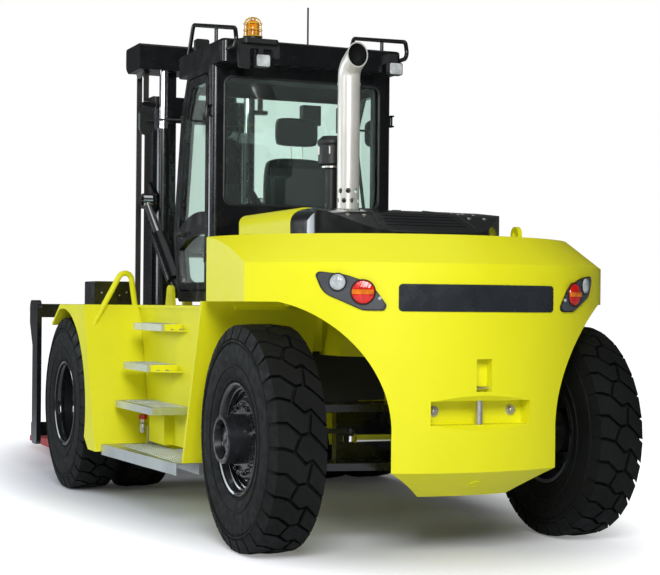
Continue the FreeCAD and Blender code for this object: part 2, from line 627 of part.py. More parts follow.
def hood_cowl():
    """Fixed black cowl between the side panels, with the front wall that closes the engine bay."""
    half = HOOD_LIP_Y - SEAT
    plate = box((LID_HINGE_X + ARM_GAP, HOOD_FRONT_X), (-half, half), (HOOD_TOP - 60, HOOD_TOP))
    wall_y = HOOD_HALF_Y - 95
    wall = box((HOOD_FRONT_X - HOOD_WALL, HOOD_FRONT_X), (-wall_y, wall_y),
               (DECK_TOP + SEAT, HOOD_TOP - 25 - SEAT))
    parts = [plate, wall]
    for y in HINGE_Y:
        leaf = box((LID_HINGE_X + ARM_GAP, LID_HINGE_X + 50), (y - 60, y + 60), (HOOD_TOP, HOOD_TOP + 6))
        post = fuse([box((LID_HINGE_X - 6, LID_HINGE_X + 16), (y + 30, y + 60),
                         (LID_HINGE_Z - 12, LID_HINGE_Z + 8)),
                     box((LID_HINGE_X + ARM_GAP, LID_HINGE_X + 16), (y + 30, y + 60),
                         (HOOD_TOP, LID_HINGE_Z))])
        pin = rod((LID_HINGE_X + 2, y - 60, LID_HINGE_Z), (LID_HINGE_X + 2, y + 60, LID_HINGE_Z), HINGE_PIN_R)
        parts += [leaf, pin, post]
    return fuse(parts).cut(box((0, LID_HINGE_X + ARM_GAP), (-500, 500), (HOOD_TOP - 200, HOOD_TOP + 1)))


def lid_body(drop):
    """The lid's outer form moved inward by drop: crown, plan corners and tail slope together."""
    seam = HOOD_SEAM_X - ARM_GAP
    crown = prism("yz", [(-HOOD_HALF_Y + drop, LID_LOW), (-HOOD_HALF_Y + drop, HOOD_TOP - 10 - drop,
                         LID_SHOULDER), (HOOD_HALF_Y - drop, HOOD_TOP - 10 - drop, LID_SHOULDER),
                         (HOOD_HALF_Y - drop, LID_LOW)], HOOD_REAR_X - 10, seam)
    plan = prism("xy", [(seam, -HOOD_HALF_Y + drop), (HOOD_REAR_X + 300, -HOOD_HALF_Y + drop,
                        LID_CORNER_R), (HOOD_REAR_X + drop, -330, 240), (HOOD_REAR_X + drop, 330, 240),
                        (HOOD_REAR_X + 300, HOOD_HALF_Y - drop, LID_CORNER_R),
                        (seam, HOOD_HALF_Y - drop)], LID_LOW, LID_HIGH)
    slope = prism("xz", [(HOOD_REAR_X + drop, LID_LOW), (HOOD_REAR_X + drop, LID_TAIL_Z - drop, 10),
                         (80, HOOD_TOP - 38 - drop, 260), (HOOD_SEAM_X - 60, HOOD_TOP - drop, 500),
                         (seam, HOOD_TOP - drop), (seam, LID_LOW)], -700, 700)
    return crown.common([plan]).common(slope)


def hood_lid():
    """Black louvred lid over the radiator, sloping down to the tail."""
    skin = 20
    room = box((HOOD_REAR_X - 10, HOOD_SEAM_X), (-700, 700), (BAND_BOTTOM, WEIGHT_TOP + 10))
    rear = lid_body(0).cut([lid_body(skin).cut(box((HOOD_SEAM_X - ARM_GAP - skin, HOOD_SEAM_X),
                                                   (-700, 700), (LID_LOW, HOOD_TOP - 40))), room])
    narrow_y = HOOD_LIP_Y - ARM_GAP
    narrow = box((HOOD_SEAM_X - ARM_GAP - skin, LID_HINGE_X), (-narrow_y, narrow_y),
                 (HOOD_TOP - 40, HOOD_TOP))
    louvres = []
    for i in range(LOUVRES):
        x = HOOD_REAR_X + 75 + i * LOUVRE_PITCH
        reach = 250 - i * 9
        louvres.append(box((x, x + LOUVRE_GAP), (-reach, reach), (LID_LOW, LID_HIGH)))
    parts = [rear.cut(louvres), narrow]
    under = lid_body(12).cut([lid_body(skin + 25), room])
    for y in (-90, 90):
        rib = box((HOOD_REAR_X + 22, HOOD_REAR_X + 75 + LOUVRES * LOUVRE_PITCH), (y - 8, y + 8),
                  (LID_LOW, LID_HIGH))
        parts.append(rib.common(under))
    for y in HINGE_Y:
        parts.append(box((LID_HINGE_X - 50, LID_HINGE_X - 8), (y - 30, y + 25),
                         (HOOD_TOP - 10, HOOD_TOP + 6)))
        parts.append(rod((LID_HINGE_X + 2, y - 30, LID_HINGE_Z), (LID_HINGE_X + 2, y + 25, LID_HINGE_Z), 14))
        parts.append(box((LID_HINGE_X - 16, LID_HINGE_X), (y - 30, y + 25), (HOOD_TOP - 10, LID_HINGE_Z)))
    bore = rod((LID_HINGE_X + 2, -500, LID_HINGE_Z), (LID_HINGE_X + 2, 500, LID_HINGE_Z), HINGE_PIN_R + RUN)
    return fuse(parts).cut(bore)


def engine():
    block = box((760, HOOD_FRONT_X - HOOD_WALL - ARM_GAP), (-ENGINE_HALF_Y, ENGINE_HALF_Y),
                (760, HOOD_TOP - 110))
    gearbox = box((1380, 1900), (-250, 250), (640, 1200))
    return fuse([block, gearbox])


# ---- cab ----
def cab_profile(grow):
    """Side view of the cab, moved outward by grow."""
    return [(CAB_REAR_X - grow, CAB_FLOOR - grow), (CAB_REAR_X - grow, CAB_ROOF_BOTTOM + grow),
            (2260 + grow, CAB_ROOF_BOTTOM + grow, 60), (2400 + grow, CAB_ROOF_BOTTOM - 280, 300),
            (2555 + grow, CAB_ROOF_BOTTOM - 1080, 300), (2440 + grow, CAB_FLOOR - grow, 60)]


def door_profile(grow):
    rear, low, high = CAB_REAR_X + 60 - grow, DOOR_Z[0] - grow, DOOR_Z[1] + grow
    return [(rear, low, 40), (rear, high, 60), (2215 + grow, high, 60),
            (2340 + grow, CAB_ROOF_BOTTOM - 300, 250), (2490 + grow, CAB_ROOF_BOTTOM - 1070, 250),
            (2400 + grow, low, 60)]


def waist_curve(low):
    """Edge of the door's waist band, as x-z points of an arc from front to rear."""
    drop = WAIST_BAND if low else 0
    return V(2430, 0, WAIST_FRONT - drop), V(2200, 0, WAIST_MID - drop), V(1875, 0, WAIST_REAR - drop)


def door_window(upper):
    """Face of one door window, moved to the outer plane later."""
    front, mid, rear = waist_curve(not upper)
    curve = Part.Arc(front, mid, rear).toShape()
    if upper:
        top = DOOR_Z[1] - 60
        corners = [rear, V(1875, 0, top), V(2175, 0, top), V(2290, 0, top - 200), front]
    else:
        low = DOOR_Z[0] + 50
        corners = [rear, V(1875, 0, low), V(2370, 0, low), front]
    lines = [Part.LineSegment(corners[i], corners[i + 1]).toShape() for i in range(len(corners) - 1)]
    return Part.Face(Part.Wire([curve] + lines))


def door_panes(side_y, depth, thickness):
    """Both window areas of the left door as solids."""
    panes = []
    for upper in (True, False):
        face = door_window(upper)
        face.translate(V(0, side_y - depth, 0))
        panes.append(face.extrude(V(0, thickness, 0)))
    return panes


def cab_shell():
    outer = prism("xz", cab_profile(0), -CAB_HALF_Y, CAB_HALF_Y)
    outer = outer.makeFillet(CAB_POST_R, [e for e in outer.Edges if e.BoundBox.XMax < CAB_REAR_X + 1
                                          and e.BoundBox.ZLength > 500])
    inner = prism("xz", cab_profile(-CAB_WALL), -CAB_HALF_Y + CAB_WALL, CAB_HALF_Y - CAB_WALL)
    doorway = prism("xz", door_profile(DOOR_GAP), -CAB_HALF_Y - 10, CAB_HALF_Y + 10)
    half = WINDOW_HALF_Y
    low, high = WINDOW_REAR_Z
    rear_window = prism("yz", [(-half, low, 60), (half, low, 60), (half, high, 60), (-half, high, 60)],
                        CAB_REAR_X - 10, CAB_REAR_X + CAB_WALL + 10)
    low, high = WINDOW_FRONT_Z
    windscreen = prism("yz", [(-half, low, 60), (half, low, 60), (half, high, 60), (-half, high, 60)],
                       2150, 2700)
    shell = outer.cut([inner, doorway, rear_window, windscreen])
    for z in DOOR_HINGES_Z:
        pin = rod((DOOR_AXIS[0], DOOR_AXIS[1], z - 40), (DOOR_AXIS[0], DOOR_AXIS[1], z + 40), HINGE_PIN_R)
        plates = [box((DOOR_AXIS[0] - 40, DOOR_AXIS[0] + HINGE_PIN_R), (CAB_HALF_Y - 1, DOOR_AXIS[1]
                      + HINGE_PIN_R), (h, h + 10)) for h in (z - 40, z + 30)]
        left = fuse([pin] + plates)
        shell = shell.fuse([left, other_side(left)])
    return shell


def cab_roof():
    slab = box((ROOF_REAR_X, ROOF_FRONT_X), (-640, 640), (CAB_ROOF_BOTTOM, CAB_ROOF_TOP))
    slab = slab.makeFillet(40, [e for e in slab.Edges if abs(e.tangentAt(0).z) > 0.9])
    slab = slab.makeFillet(18, [e for e in slab.Edges if e.BoundBox.ZMin > CAB_ROOF_TOP - 1])
    sill = CAB_ROOF_BOTTOM + 60
    start, end = ROOF_REAR_X + 200, ROOF_FRONT_X - 60
    well = box((start, end), (-560, 560), (sill, CAB_ROOF_TOP + 50))
    bars = []
    for i in range(1, 8):
        x = start + (end - start) * i / 8
        bars.append(box((x - 10, x + 10), (-570, 570), (sill, sill + 80)))
    return fuse([slab.cut(well)] + bars)


def mirror():
    """Left mirror on a thin arm from the cab's front pillar."""
    x, y = 2372, CAB_HALF_Y
    foot = box((x - 18, x + 18), (y, y + 8), (MIRROR_Z - 25, MIRROR_Z + 25))
    arm = bent_tube([(x, y + 4, MIRROR_Z), (x + 10, y + 110, MIRROR_Z), (2530, MIRROR_Y, MIRROR_Z)], 8, 40)
    plan = [(-52, -98, 50), (52, -98, 50), (52, 98, 50), (-52, 98, 50)]
    head = prism("yz", plan, 0, 32)
    head = head.makeFillet(12, [e for e in head.Edges if e.BoundBox.XMin > 31])
    head.rotate(V(), UP, 12)
    head.translate(V(2525, MIRROR_Y, MIRROR_Z))
    return fuse([foot, arm, head])


def cab_glass():
    half = WINDOW_HALF_Y - SEAT
    low, high = WINDOW_REAR_Z[0] + SEAT, WINDOW_REAR_Z[1] - SEAT
    rear = prism("yz", [(-half, low, 60), (half, low, 60), (half, high, 60), (-half, high, 60)],
                 CAB_REAR_X + 20, CAB_REAR_X + 20 + PANE)
    outer = prism("xz", cab_profile(-20), -half, half)
    inner = prism("xz", cab_profile(-20 - PANE), -half, half)
    low = WINDOW_FRONT_Z[0] + SEAT
    pane = prism("yz", [(-half, low, 60), (half, low, 60), (half, high, 60), (-half, high, 60)],
                 2170, 2700)
    front = outer.cut(inner).common(pane)
    return Part.makeCompound([rear] + front.Solids)


def door():
    skin = prism("xz", door_profile(0), CAB_HALF_Y - CAB_WALL, CAB_HALF_Y)
    parts = [skin.cut(door_panes(CAB_HALF_Y, CAB_WALL + 10, CAB_WALL + 20))]
    for z in DOOR_HINGES_Z:
        low, high = z - 30 + SEAT, z + 30 - SEAT
        parts.append(rod((DOOR_AXIS[0], DOOR_AXIS[1], low), (DOOR_AXIS[0], DOOR_AXIS[1], high), 13))
        parts.append(box((DOOR_AXIS[0], CAB_REAR_X + 110), (CAB_HALF_Y - 1, CAB_HALF_Y + 8), (low, high)))
    gap = box((DOOR_AXIS[0] - 30, CAB_REAR_X + 60), (0, CAB_HALF_Y + 0.5),
              (DOOR_Z[0] + 70, DOOR_Z[1] - 50))
    bore = rod((*DOOR_AXIS, CAB_FLOOR), (*DOOR_AXIS, CAB_ROOF_BOTTOM), HINGE_PIN_R + RUN)
    return fuse(parts).cut([gap, bore])


def door_glass():
    return Part.makeCompound(door_panes(CAB_HALF_Y, 26, PANE))


def seat_base():
    pan_low = SEAT_PAN_Z - 40
    foot = box((1930, 2230), (-210, 210), (CAB_FLOOR + CAB_WALL + SEAT, pan_low + 10))
    pan = box((1830, 2255), (-225, 225), (pan_low, SEAT_PAN_Z))
    back = box((1830, 1855 - SEAT), (-200, 200), (pan_low, SEAT_PAN_Z + 550))
    console = box((1960, 2330), (250, 330), (SEAT_PAN_Z - 50, SEAT_PAN_Z + 200))
    arm = box((1960, 2240), (200, 262), (SEAT_PAN_Z - 100, SEAT_PAN_Z))
    return fuse([foot, pan, back, console, arm])


def seat_cushions():
    pan = SEAT_PAN_Z
    base = box((1920, 2262), (-240, 240), (pan + SEAT, pan + 100))
    back = box((1855, 1925), (-230, 230), (pan + 120, pan + 620))
    head = box((1855, 1915), (-150, 150), (pan + 700, pan + 900))
    post = box((1870, 1890), (-40, 40), (pan + 610, pan + 710))
    return Part.makeCompound([base, fuse([back, post, head])])


def steering_column():
    floor = CAB_FLOOR + CAB_WALL + SEAT
    axis = (COLUMN_TOP - COLUMN_FOOT).normalize()
    post = Part.makeCylinder(COLUMN_R, (COLUMN_TOP - COLUMN_FOOT).Length + 60, COLUMN_FOOT - axis * 60, axis)
    bore = Part.makeCylinder(COLUMN_SHAFT_R + RUN, 60, COLUMN_TOP - axis * 40, axis)
    return post.cut([bore, box((2000, 2600), (-100, 100), (floor - 200, floor))])


def steering_wheel():
    axis = (COLUMN_TOP - COLUMN_FOOT).normalize()
    centre = COLUMN_TOP + axis * (12 + ARM_GAP)
    rim = Part.makeTorus(168, 14, centre, axis)
    hub = Part.makeCylinder(35, 24, centre - axis * 12, axis)
    shaft = Part.makeCylinder(COLUMN_SHAFT_R, 45, centre - axis * 45, axis)
    spokes = []
    across = ACROSS
    for turn in range(3):
        angle = math.radians(90 + 120 * turn)
        out = across * math.cos(angle) + axis.cross(across) * math.sin(angle)
        spokes.append(Part.makeCylinder(11, 166, centre, out))
    return fuse([hub, shaft, rim] + spokes)


# ---- fittings ----
def exhaust():
    """Stack with a ring of cooling holes near its foot and a mouth cut upright, facing rearwards."""
    foot, knee = (STACK_X, STACK_Y, HOOD_TOP), (STACK_X, STACK_Y, STACK_BEND_Z)
    end = (STACK_X - 240, STACK_Y, STACK_BEND_Z + 128)
    stack = bent_tube([foot, knee, end], STACK_R, 95)
    bore = bent_tube([(STACK_X, STACK_Y, HOOD_TOP + 60), knee, end], STACK_BORE, 95)
    holes = []
    for row in range(2):
        z = HOOD_TOP + 90 + 60 * row
        for i in range(STACK_HOLES):
            angle = 2 * math.pi * (i + row / 2) / STACK_HOLES
            out = V(math.cos(angle), math.sin(angle), 0)
            holes.append(Part.makeCylinder(STACK_HOLE_R, STACK_R, V(STACK_X, STACK_Y, z) + out * 30, out))
    beyond = box((0, STACK_MOUTH_X), (-500, 500), (STACK_BEND_Z - 200, STACK_BEND_Z + 400))
    collar = ring((STACK_X, STACK_Y, HOOD_TOP + 815), (STACK_X, STACK_Y, HOOD_TOP + 830), STACK_R + 3,
                  STACK_BORE)
    return fuse([stack.cut([bore, beyond] + holes), collar])


def air_intake():
    top = HOOD_TOP + 340
    pipe = rod((1330, STACK_Y, HOOD_TOP), (1330, STACK_Y, top), 38)
    bowl = turned([(-14, 0), (-14, 60), (0, 85), (118, 85), (132, 92), (150, 92), (180, 60), (180, 0)],
                  (1330, STACK_Y, top), (0, 0, 1))
    return fuse([pipe, bowl])


def roof_rails():
    """Rails that rise forwards along the roof's sides and reach back past its rear edge."""
    top, y, tail = CAB_ROOF_TOP, ROOF_RAIL_Y, CAB_ROOF_TOP - 72
    front, rear = ROOF_FRONT_X - 120, ROOF_REAR_X - 140
    rail = bent_tube([(front, y, top), (front - 100, y, top + 196), (rear, y, top + 40),
                      (rear - 35, y, tail), (ROOF_REAR_X + 30, y, tail)], 14, 40)
    x = front - 580
    post = rod((x, y, top), (x, y, top + 40 + 156 * (x - rear) / (front - 100 - rear)), 12)
    roof = box((ROOF_REAR_X, ROOF_FRONT_X), (0, 700), (CAB_ROOF_BOTTOM, CAB_ROOF_TOP))
    return both(fuse([rail, post]).cut(roof))


def beacon():
    """Flashing lamp: wide foot, ribbed body and rounded top, turned about its own axis."""
    return turned([(0, 0), (0, 105), (8, 105), (8, 62), (30, 62), (38, 46), (120, 46), (145, 34),
                   (156, 0)], (1670, 400, CAB_ROOF_TOP), (0, 0, 1))


def flood_lamp(at, back):
    """Small square lamp with a rounded housing; back is -1 when it shines rearwards."""
    body = prism("yz", [(-50, -42, 14), (50, -42, 14), (50, 42, 14), (-50, 42, 14)], 0, 46)
    stem = prism("yz", [(-30, -30, 20), (30, -30, 20), (30, 30, 20), (-30, 30, 20)], -16, 5)
    lamp = fuse([body, stem])
    if back < 0:
        lamp.rotate(V(), UP, 180)
    lamp.translate(V(*at))
    return lamp


def work_lamps():
    """Two rear lamps in brackets on the roof's edge, and two forward ones on posts."""
    x = ROOF_REAR_X
    bracket_left = prism("xy", [(x - SEAT, 250), (x - SEAT, 530), (x - 60, 500, 20), (x - 60, 280, 20)],
                         CAB_ROOF_TOP - 30, CAB_ROOF_TOP)
    low = CAB_ROOF_BOTTOM
    wing = prism("yz", [(455, low - 40), (530, low - 40, 12),
                        (530, CAB_ROOF_TOP - 5, 40), (250, CAB_ROOF_TOP - 5, 40), (250, low + 30, 12),
                        (290, low + 30, 12), (300, low + 90, 20), (455, low + 90, 20)], x - 20, x - SEAT)
    rear_left = fuse([bracket_left, wing, flood_lamp((x - 35, 385, low + 5), -1),
                      box((x - 40, x - 19), (370, 400), (low, low + 100))])
    bracket_right = box((x - 60, x - SEAT), (-582, -522), (low + 60, low + 120))
    rear_right = fuse([bracket_right, flood_lamp((x - 35, -560, low + 18), -1)])
    lamps = [rear_left, rear_right]
    for px, py in ((ROOF_FRONT_X - 30, 470), (ROOF_FRONT_X - 30, 245)):
        post = rod((px, py, CAB_ROOF_TOP), (px, py, CAB_ROOF_TOP + 60), 12)
        foot = rod((px, py, CAB_ROOF_TOP), (px, py, CAB_ROOF_TOP + 8), 30)
        lamps.append(fuse([foot, post, flood_lamp((px, py, CAB_ROOF_TOP + 98), 1)]))
    return Part.makeCompound(lamps)


def tail_lamp():
    """Left rear lamp cluster: curved bezel on the counterweight with a red and a clear lamp."""
    low = BAND_BOTTOM - 36
    edge = [(505, low, 22), (628, low + 2, 60), (790, low + 84, 90), (826, low + 191, 18),
            (700, low + 174, 200), (592, low + 132, 70)]
    plate = prism("yz", edge, TAIL_X - 50, WEIGHT_AXIS_X)
    axis = (WEIGHT_AXIS_X, 0)
    shell = ring((*axis, 1200), (*axis, 1600), WEIGHT_R + BEZEL, WEIGHT_R + SEAT)
    parts = [plate.common(shell)]
    for y, z, r in zip(LAMP_Y, LAMP_Z, LAMP_R):
        x = WEIGHT_AXIS_X - math.sqrt(WEIGHT_R ** 2 - y ** 2)
        away = V(x - WEIGHT_AXIS_X, y, 0).normalize()
        parts.append(Part.makeCylinder(r, BEZEL + 12, V(x, y, z), away))
    weight = rod((*axis, WEIGHT_BOTTOM), (*axis, WEIGHT_TOP), WEIGHT_R + SEAT)
    return fuse(parts).cut(weight)


def tow_pin():
    x = TAIL_X + 55
    return rod((x, 0, TOW_POCKET_Z[0]), (x, 0, TOW_POCKET_Z[1]), TOW_PIN_R)


def deck_box():
    x, y, height, wall = DRIVE_X - 400, HALF_WIDTH - 400, 160, 10
    outer = box((x, x + 280), (y, y + 270), (DECK_TOP, DECK_TOP + height))
    hollow = box((x + wall, x + 290), (y + wall, y + 270 - wall), (DECK_TOP + wall, DECK_TOP + height - wall))
    return outer.cut(hollow)


def antenna():
    return rod((1650, 20, CAB_ROOF_TOP), (1650, 20, CAB_ROOF_TOP + 250), 6)


# ---- mast ----
def channel(y_inner, y_outer, x_rear, depth, z, wall):
    """Upright rolled section, open towards the mast's middle."""
    corners = [(x_rear, y_inner), (x_rear, y_outer), (x_rear + depth, y_outer),
               (x_rear + depth, y_inner), (x_rear + depth - wall, y_inner),
               (x_rear + depth - wall, y_outer - wall), (x_rear + wall, y_outer - wall),
               (x_rear + wall, y_inner)]
    return prism("xy", corners, z[0], z[1])


def outer_mast():
    rail = channel(OUTER_RAIL_Y[0], OUTER_RAIL_Y[1], MAST_REAR_X, OUTER_RAIL_DEPTH, OUTER_RAIL_Z, 35)
    lug = prism("xz", [(3720, 440, 55), (3870, 380), (3870, 760), (3720, 560, 55)], 300, 370)
    pin = rod((MAST_PIVOT[0], 305, MAST_PIVOT[1]), (MAST_PIVOT[0], 455, MAST_PIVOT[1]), MAST_PIN_R)
    ear = prism("xz", [(TILT_PIN_MAST[0] - 50, TILT_PIN_MAST[1] - 50, 45),
                       (MAST_REAR_X + 60, TILT_PIN_MAST[1] - 160),
                       (MAST_REAR_X + 60, TILT_PIN_MAST[1] + 160),
                       (TILT_PIN_MAST[0] - 50, TILT_PIN_MAST[1] + 50, 45)], 411, 431)
    ear_pin = rod((TILT_PIN_MAST[0], 411, TILT_PIN_MAST[1]), (TILT_PIN_MAST[0], TILT_Y + 45,
                  TILT_PIN_MAST[1]), 22)
    pad = box((MAST_REAR_X + 42, MAST_REAR_X + 198), (INNER_RAIL_Y[1] + SEAT, OUTER_RAIL_Y[1] - 30),
              (2850, 2940))
    anchor = box((3800, 3905), (411, 520), (2870, 2900))
    left = [rail, lug, pin, ear, ear_pin, anchor, pad]
    ties = [box((MAST_REAR_X, MAST_REAR_X + 30), (-305, 305), z) for z in ((620, 820), (1700, 1850),
                                                                         (2760, 2960))]
    return fuse(left + [other_side(s) for s in left] + ties)


def inner_mast():
    rail = channel(INNER_RAIL_Y[0], INNER_RAIL_Y[1], MAST_REAR_X + 42, OUTER_RAIL_DEPTH - 84,
                   INNER_RAIL_Z, 28)
    head = prism("xz", [(HEAD_X[0], HEAD_Z[0]), (HEAD_X[0], HEAD_Z[1], 25), (HEAD_X[1], HEAD_Z[1], 25),
                        (HEAD_X[1], HEAD_Z[0] + 40, 60), (HEAD_X[1] - 70, HEAD_Z[0])],
                 -HEAD_HALF_Y, HEAD_HALF_Y)
    slots = [box((SHEAVE_X - SHEAVE_R - 25, SHEAVE_X + SHEAVE_R + 25), (s * CHAIN_Y - 40,
                 s * CHAIN_Y + 40), (HEAD_Z[0] - 10, HEAD_Z[1] - 25)) for s in (1, -1)]
    tie = box((MAST_REAR_X + 42, MAST_REAR_X + 64), (-290, 290), (300, 420))
    roller = rod((MAST_REAR_X + OUTER_RAIL_DEPTH / 2, INNER_RAIL_Y[1] - 10, 350),
                 (MAST_REAR_X + OUTER_RAIL_DEPTH / 2, OUTER_RAIL_Y[1] - 35 - SEAT, 350),
                 OUTER_RAIL_DEPTH / 2 - 35 - SEAT)
    return fuse([rail, other_side(rail), head.cut(slots), tie, roller, other_side(roller)])


def lift_chain():
    """Left lift chain over its sheave, with every other row of link plates standing wider."""
    strand_r = SHEAVE_R + 15
    level = HEAD_Z[0] + 60
    wheel = rod((SHEAVE_X, CHAIN_Y - 30, level), (SHEAVE_X, CHAIN_Y + 30, level), SHEAVE_R)
    axle = rod((SHEAVE_X, CHAIN_Y - 40 + SEAT, level), (SHEAVE_X, CHAIN_Y + 40 - SEAT, level), 25)
    wrap = ring((SHEAVE_X, CHAIN_Y - 20, level), (SHEAVE_X, CHAIN_Y + 20, level), strand_r, SHEAVE_R - 2)
    wrap = wrap.common(box((3000, 5000), (0, 1000), (level, 5000)))
    narrow = CHAIN_HALF - 7
    front = (SHEAVE_X + SHEAVE_R, SHEAVE_X + strand_r)
    rear = (SHEAVE_X - strand_r, SHEAVE_X - SHEAVE_R)
    parts = [wheel, axle, wrap]
    for x, low in ((front, 700), (rear, 2910)):
        parts.append(box(x, (CHAIN_Y - narrow, CHAIN_Y + narrow), (low, level)))
        for i in range(int((level - low) / CHAIN_PITCH)):
            z = low + i * CHAIN_PITCH
            parts.append(box(x, (CHAIN_Y - CHAIN_HALF, CHAIN_Y + CHAIN_HALF), (z, z + CHAIN_PITCH * 0.55)))
    return fuse(parts)


def tilt_parts():
    """Barrel and rod of the left tilt cylinder, between its two pins."""
    start = V(TILT_PIN_FRAME[0], TILT_Y, TILT_PIN_FRAME[1])
    end = V(TILT_PIN_MAST[0], TILT_Y, TILT_PIN_MAST[1])
    along = (end - start).normalize()
    bore = Part.makeCylinder(25 + RUN, 200, start - ACROSS * 100, ACROSS)
    clevis = Part.makeCylinder(45, 90, start - ACROSS * 45, ACROSS)
    neck = Part.makeCylinder(42, 120, start + along * 20, along)
    barrel = Part.makeCylinder(62, 540, start + along * 120, along)
    inside = Part.makeCylinder(TILT_ROD_R + RUN, 560, start + along * 140, along)
    barrel = fuse([clevis, neck, barrel]).cut([bore, inside])
    eye = Part.makeCylinder(60, 70, end - ACROSS * 35, ACROSS)
    shaft = Part.makeCylinder(TILT_ROD_R, (end - start).Length - 50 - 440, start + along * 440, along)
    rod_piece = fuse([eye, shaft]).cut(Part.makeCylinder(TILT_EYE_R, 200, end - ACROSS * 100, ACROSS))
    return barrel, rod_piece


def lift_barrel():
    """Left lift cylinder barrel, standing on the mast's lower lug."""
    foot = box((LIFT_X - 50, MAST_REAR_X), (LIFT_Y - 50, LIFT_Y + 50), (LIFT_BARREL_Z[0] - 25,
               LIFT_BARREL_Z[0]))
    barrel = ring((LIFT_X, LIFT_Y, LIFT_BARREL_Z[0]), (LIFT_X, LIFT_Y, LIFT_BARREL_Z[1]), 52,
                  LIFT_ROD_R + RUN)
    return fuse([foot, barrel])


def lift_rod():
    """Left lift cylinder rod, which pushes the mast head up."""
    return rod((LIFT_X, LIFT_Y, LIFT_BARREL_Z[0] + 60), (LIFT_X, LIFT_Y, HEAD_Z[0]), LIFT_ROD_R)


# ---- carriage and forks ----
def carriage():
    x0 = CARRIAGE_X
    top = box((x0, x0 + 60), (-CARRIAGE_HALF_Y, CARRIAGE_HALF_Y), (1220, 1325))
    bottom = box((x0, FORK_HEEL_X - ARM_GAP), (-CARRIAGE_HALF_Y, CARRIAGE_HALF_Y), (300, 400))
    shaft = rod((x0 + 130, -CARRIAGE_HALF_Y, 1275), (x0 + 130, CARRIAGE_HALF_Y, 1275), 35)
    ends = [prism("xz", [(x0 - 90, CARRIAGE_Z[1], 60), (x0 + 180, CARRIAGE_Z[1], 60),
                         (x0 + 180, 1180, 60), (x0 + 80, 1000), (x0 + 80, CARRIAGE_Z[0], 40),
                         (x0 - 90, CARRIAGE_Z[0], 40)], y, y + 35)
            for y in (CARRIAGE_HALF_Y - 35, -CARRIAGE_HALF_Y)]
    uprights = [box((x0 - 175, x0 + 60), (y - 15, y + 15), (330, 1300)) for y in (170, -170)]
    roller_x = MAST_REAR_X + OUTER_RAIL_DEPTH / 2
    roller_r = OUTER_RAIL_DEPTH / 2 - 42 - 28 - SEAT
    rollers = [rod((roller_x, 175, z), (roller_x, INNER_RAIL_Y[1] - 28 - SEAT, z), roller_r)
               for z in (430, 1230)]
    rollers += [other_side(r) for r in rollers]
    return fuse([top, bottom, shaft] + ends + uprights + rollers)


def fork():
    x0 = CARRIAGE_X
    y = (FORK_Y - FORK_WIDTH / 2, FORK_Y + FORK_WIDTH / 2)
    shank = prism("xz", [(FORK_HEEL_X, FORK_BOTTOM), (FORK_HEEL_X + FORK_THICK, FORK_BOTTOM),
                         (FORK_HEEL_X + FORK_THICK, 1200), (FORK_HEEL_X + 70, 1340, 40),
                         (x0 + 72, 1340, 40), (x0 + 72, 1200, 20), (FORK_HEEL_X, 1180)], y[0], y[1])
    blade = prism("xz", [(FORK_HEEL_X, FORK_BOTTOM + 40, 30), (FORK_HEEL_X + 60, FORK_BOTTOM),
                         (FORK_TIP_X, FORK_BOTTOM), (FORK_TIP_X, FORK_BOTTOM + 20),
                         (FORK_HEEL_X + 900, FORK_BOTTOM + FORK_THICK),
                         (FORK_HEEL_X, FORK_BOTTOM + FORK_THICK)], y[0], y[1])
    taper = prism("xy", [(FORK_HEEL_X - 200, y[0]), (FORK_TIP_X - 300, y[0], 200), (FORK_TIP_X, y[0] + 70,
                         40), (FORK_TIP_X, y[1] - 70, 40), (FORK_TIP_X - 300, y[1], 200),
                         (FORK_HEEL_X - 200, y[1])], 0, 2000)
    hole = rod((x0 + 130, y[0] - 5, 1275), (x0 + 130, y[1] + 5, 1275), 35 + RUN)
    return fuse([shank, blade]).common(taper).cut(hole)


# ---- build ----
os.makedirs("parts", exist_ok=True)
ARCHES = [arch(), other_side(arch())]

save("frame", frame(ARCHES))
save("counterweight", counterweight(ARCHES))
save("side_tanks", both(side_tank()))
save("steps", steps())
save("handrails", handrails())
save("hood_sides", hood_sides())
save("hood_cowl", hood_cowl())
save("hood_lid", hood_lid())
save("engine", engine())
save("drive_axle", drive_axle())
save("steer_axle", steer_axle())
save("steer_rod", steer_rod())
save("cab_shell", cab_shell())
save("cab_roof", cab_roof())
save("cab_glass", cab_glass())
save("mirrors", both(mirror()))
save("seat_base", seat_base())
save("seat_cushions", seat_cushions())
save("steering_column", steering_column())
save("steering_wheel", steering_wheel())
save("exhaust_stack", exhaust())
save("air_intake", air_intake())
save("roof_rails", roof_rails())
save("beacon", beacon())
save("antenna", antenna())
save("work_lamps", work_lamps())
save("tail_lamps", both(tail_lamp()))
save("tow_pin", tow_pin())
save("deck_box", deck_box())

for name, mirrored in (("left", False), ("right", True)):
    def side(shape):
        return other_side(shape) if mirrored else shape

    drive_pair = []
    for tyre_y in (DRIVE_OUTER_Y, DRIVE_INNER_Y):
        one = tyre(tyre_y)
        one.translate(V(DRIVE_X, 0, 0))
        drive_pair.append(side(one))
    save("drive_tyres_" + name, Part.makeCompound(drive_pair))
    save("drive_rim_" + name, side(drive_rim()))
    save("steer_tyre_" + name, side(tyre(STEER_WHEEL_Y)))
    save("steer_rim_" + name, side(steer_rim(STEER_WHEEL_Y)))
    save("knuckle_" + name, side(knuckle()))
    save("tie_link_" + name, side(tie_link()))
    save("door_" + name, side(door()))
    save("door_glass_" + name, side(door_glass()))
    save("tilt_barrel_" + name, side(tilt_parts()[0]))
    save("tilt_rod_" + name, side(tilt_parts()[1]))
    save("fork_" + name, side(fork()))

save("outer_mast", outer_mast())
save("lift_barrels", both(lift_barrel()))
save("inner_mast", inner_mast())
save("lift_rods", both(lift_rod()))
save("lift_chains", both(lift_chain()))
save("carriage", carriage())
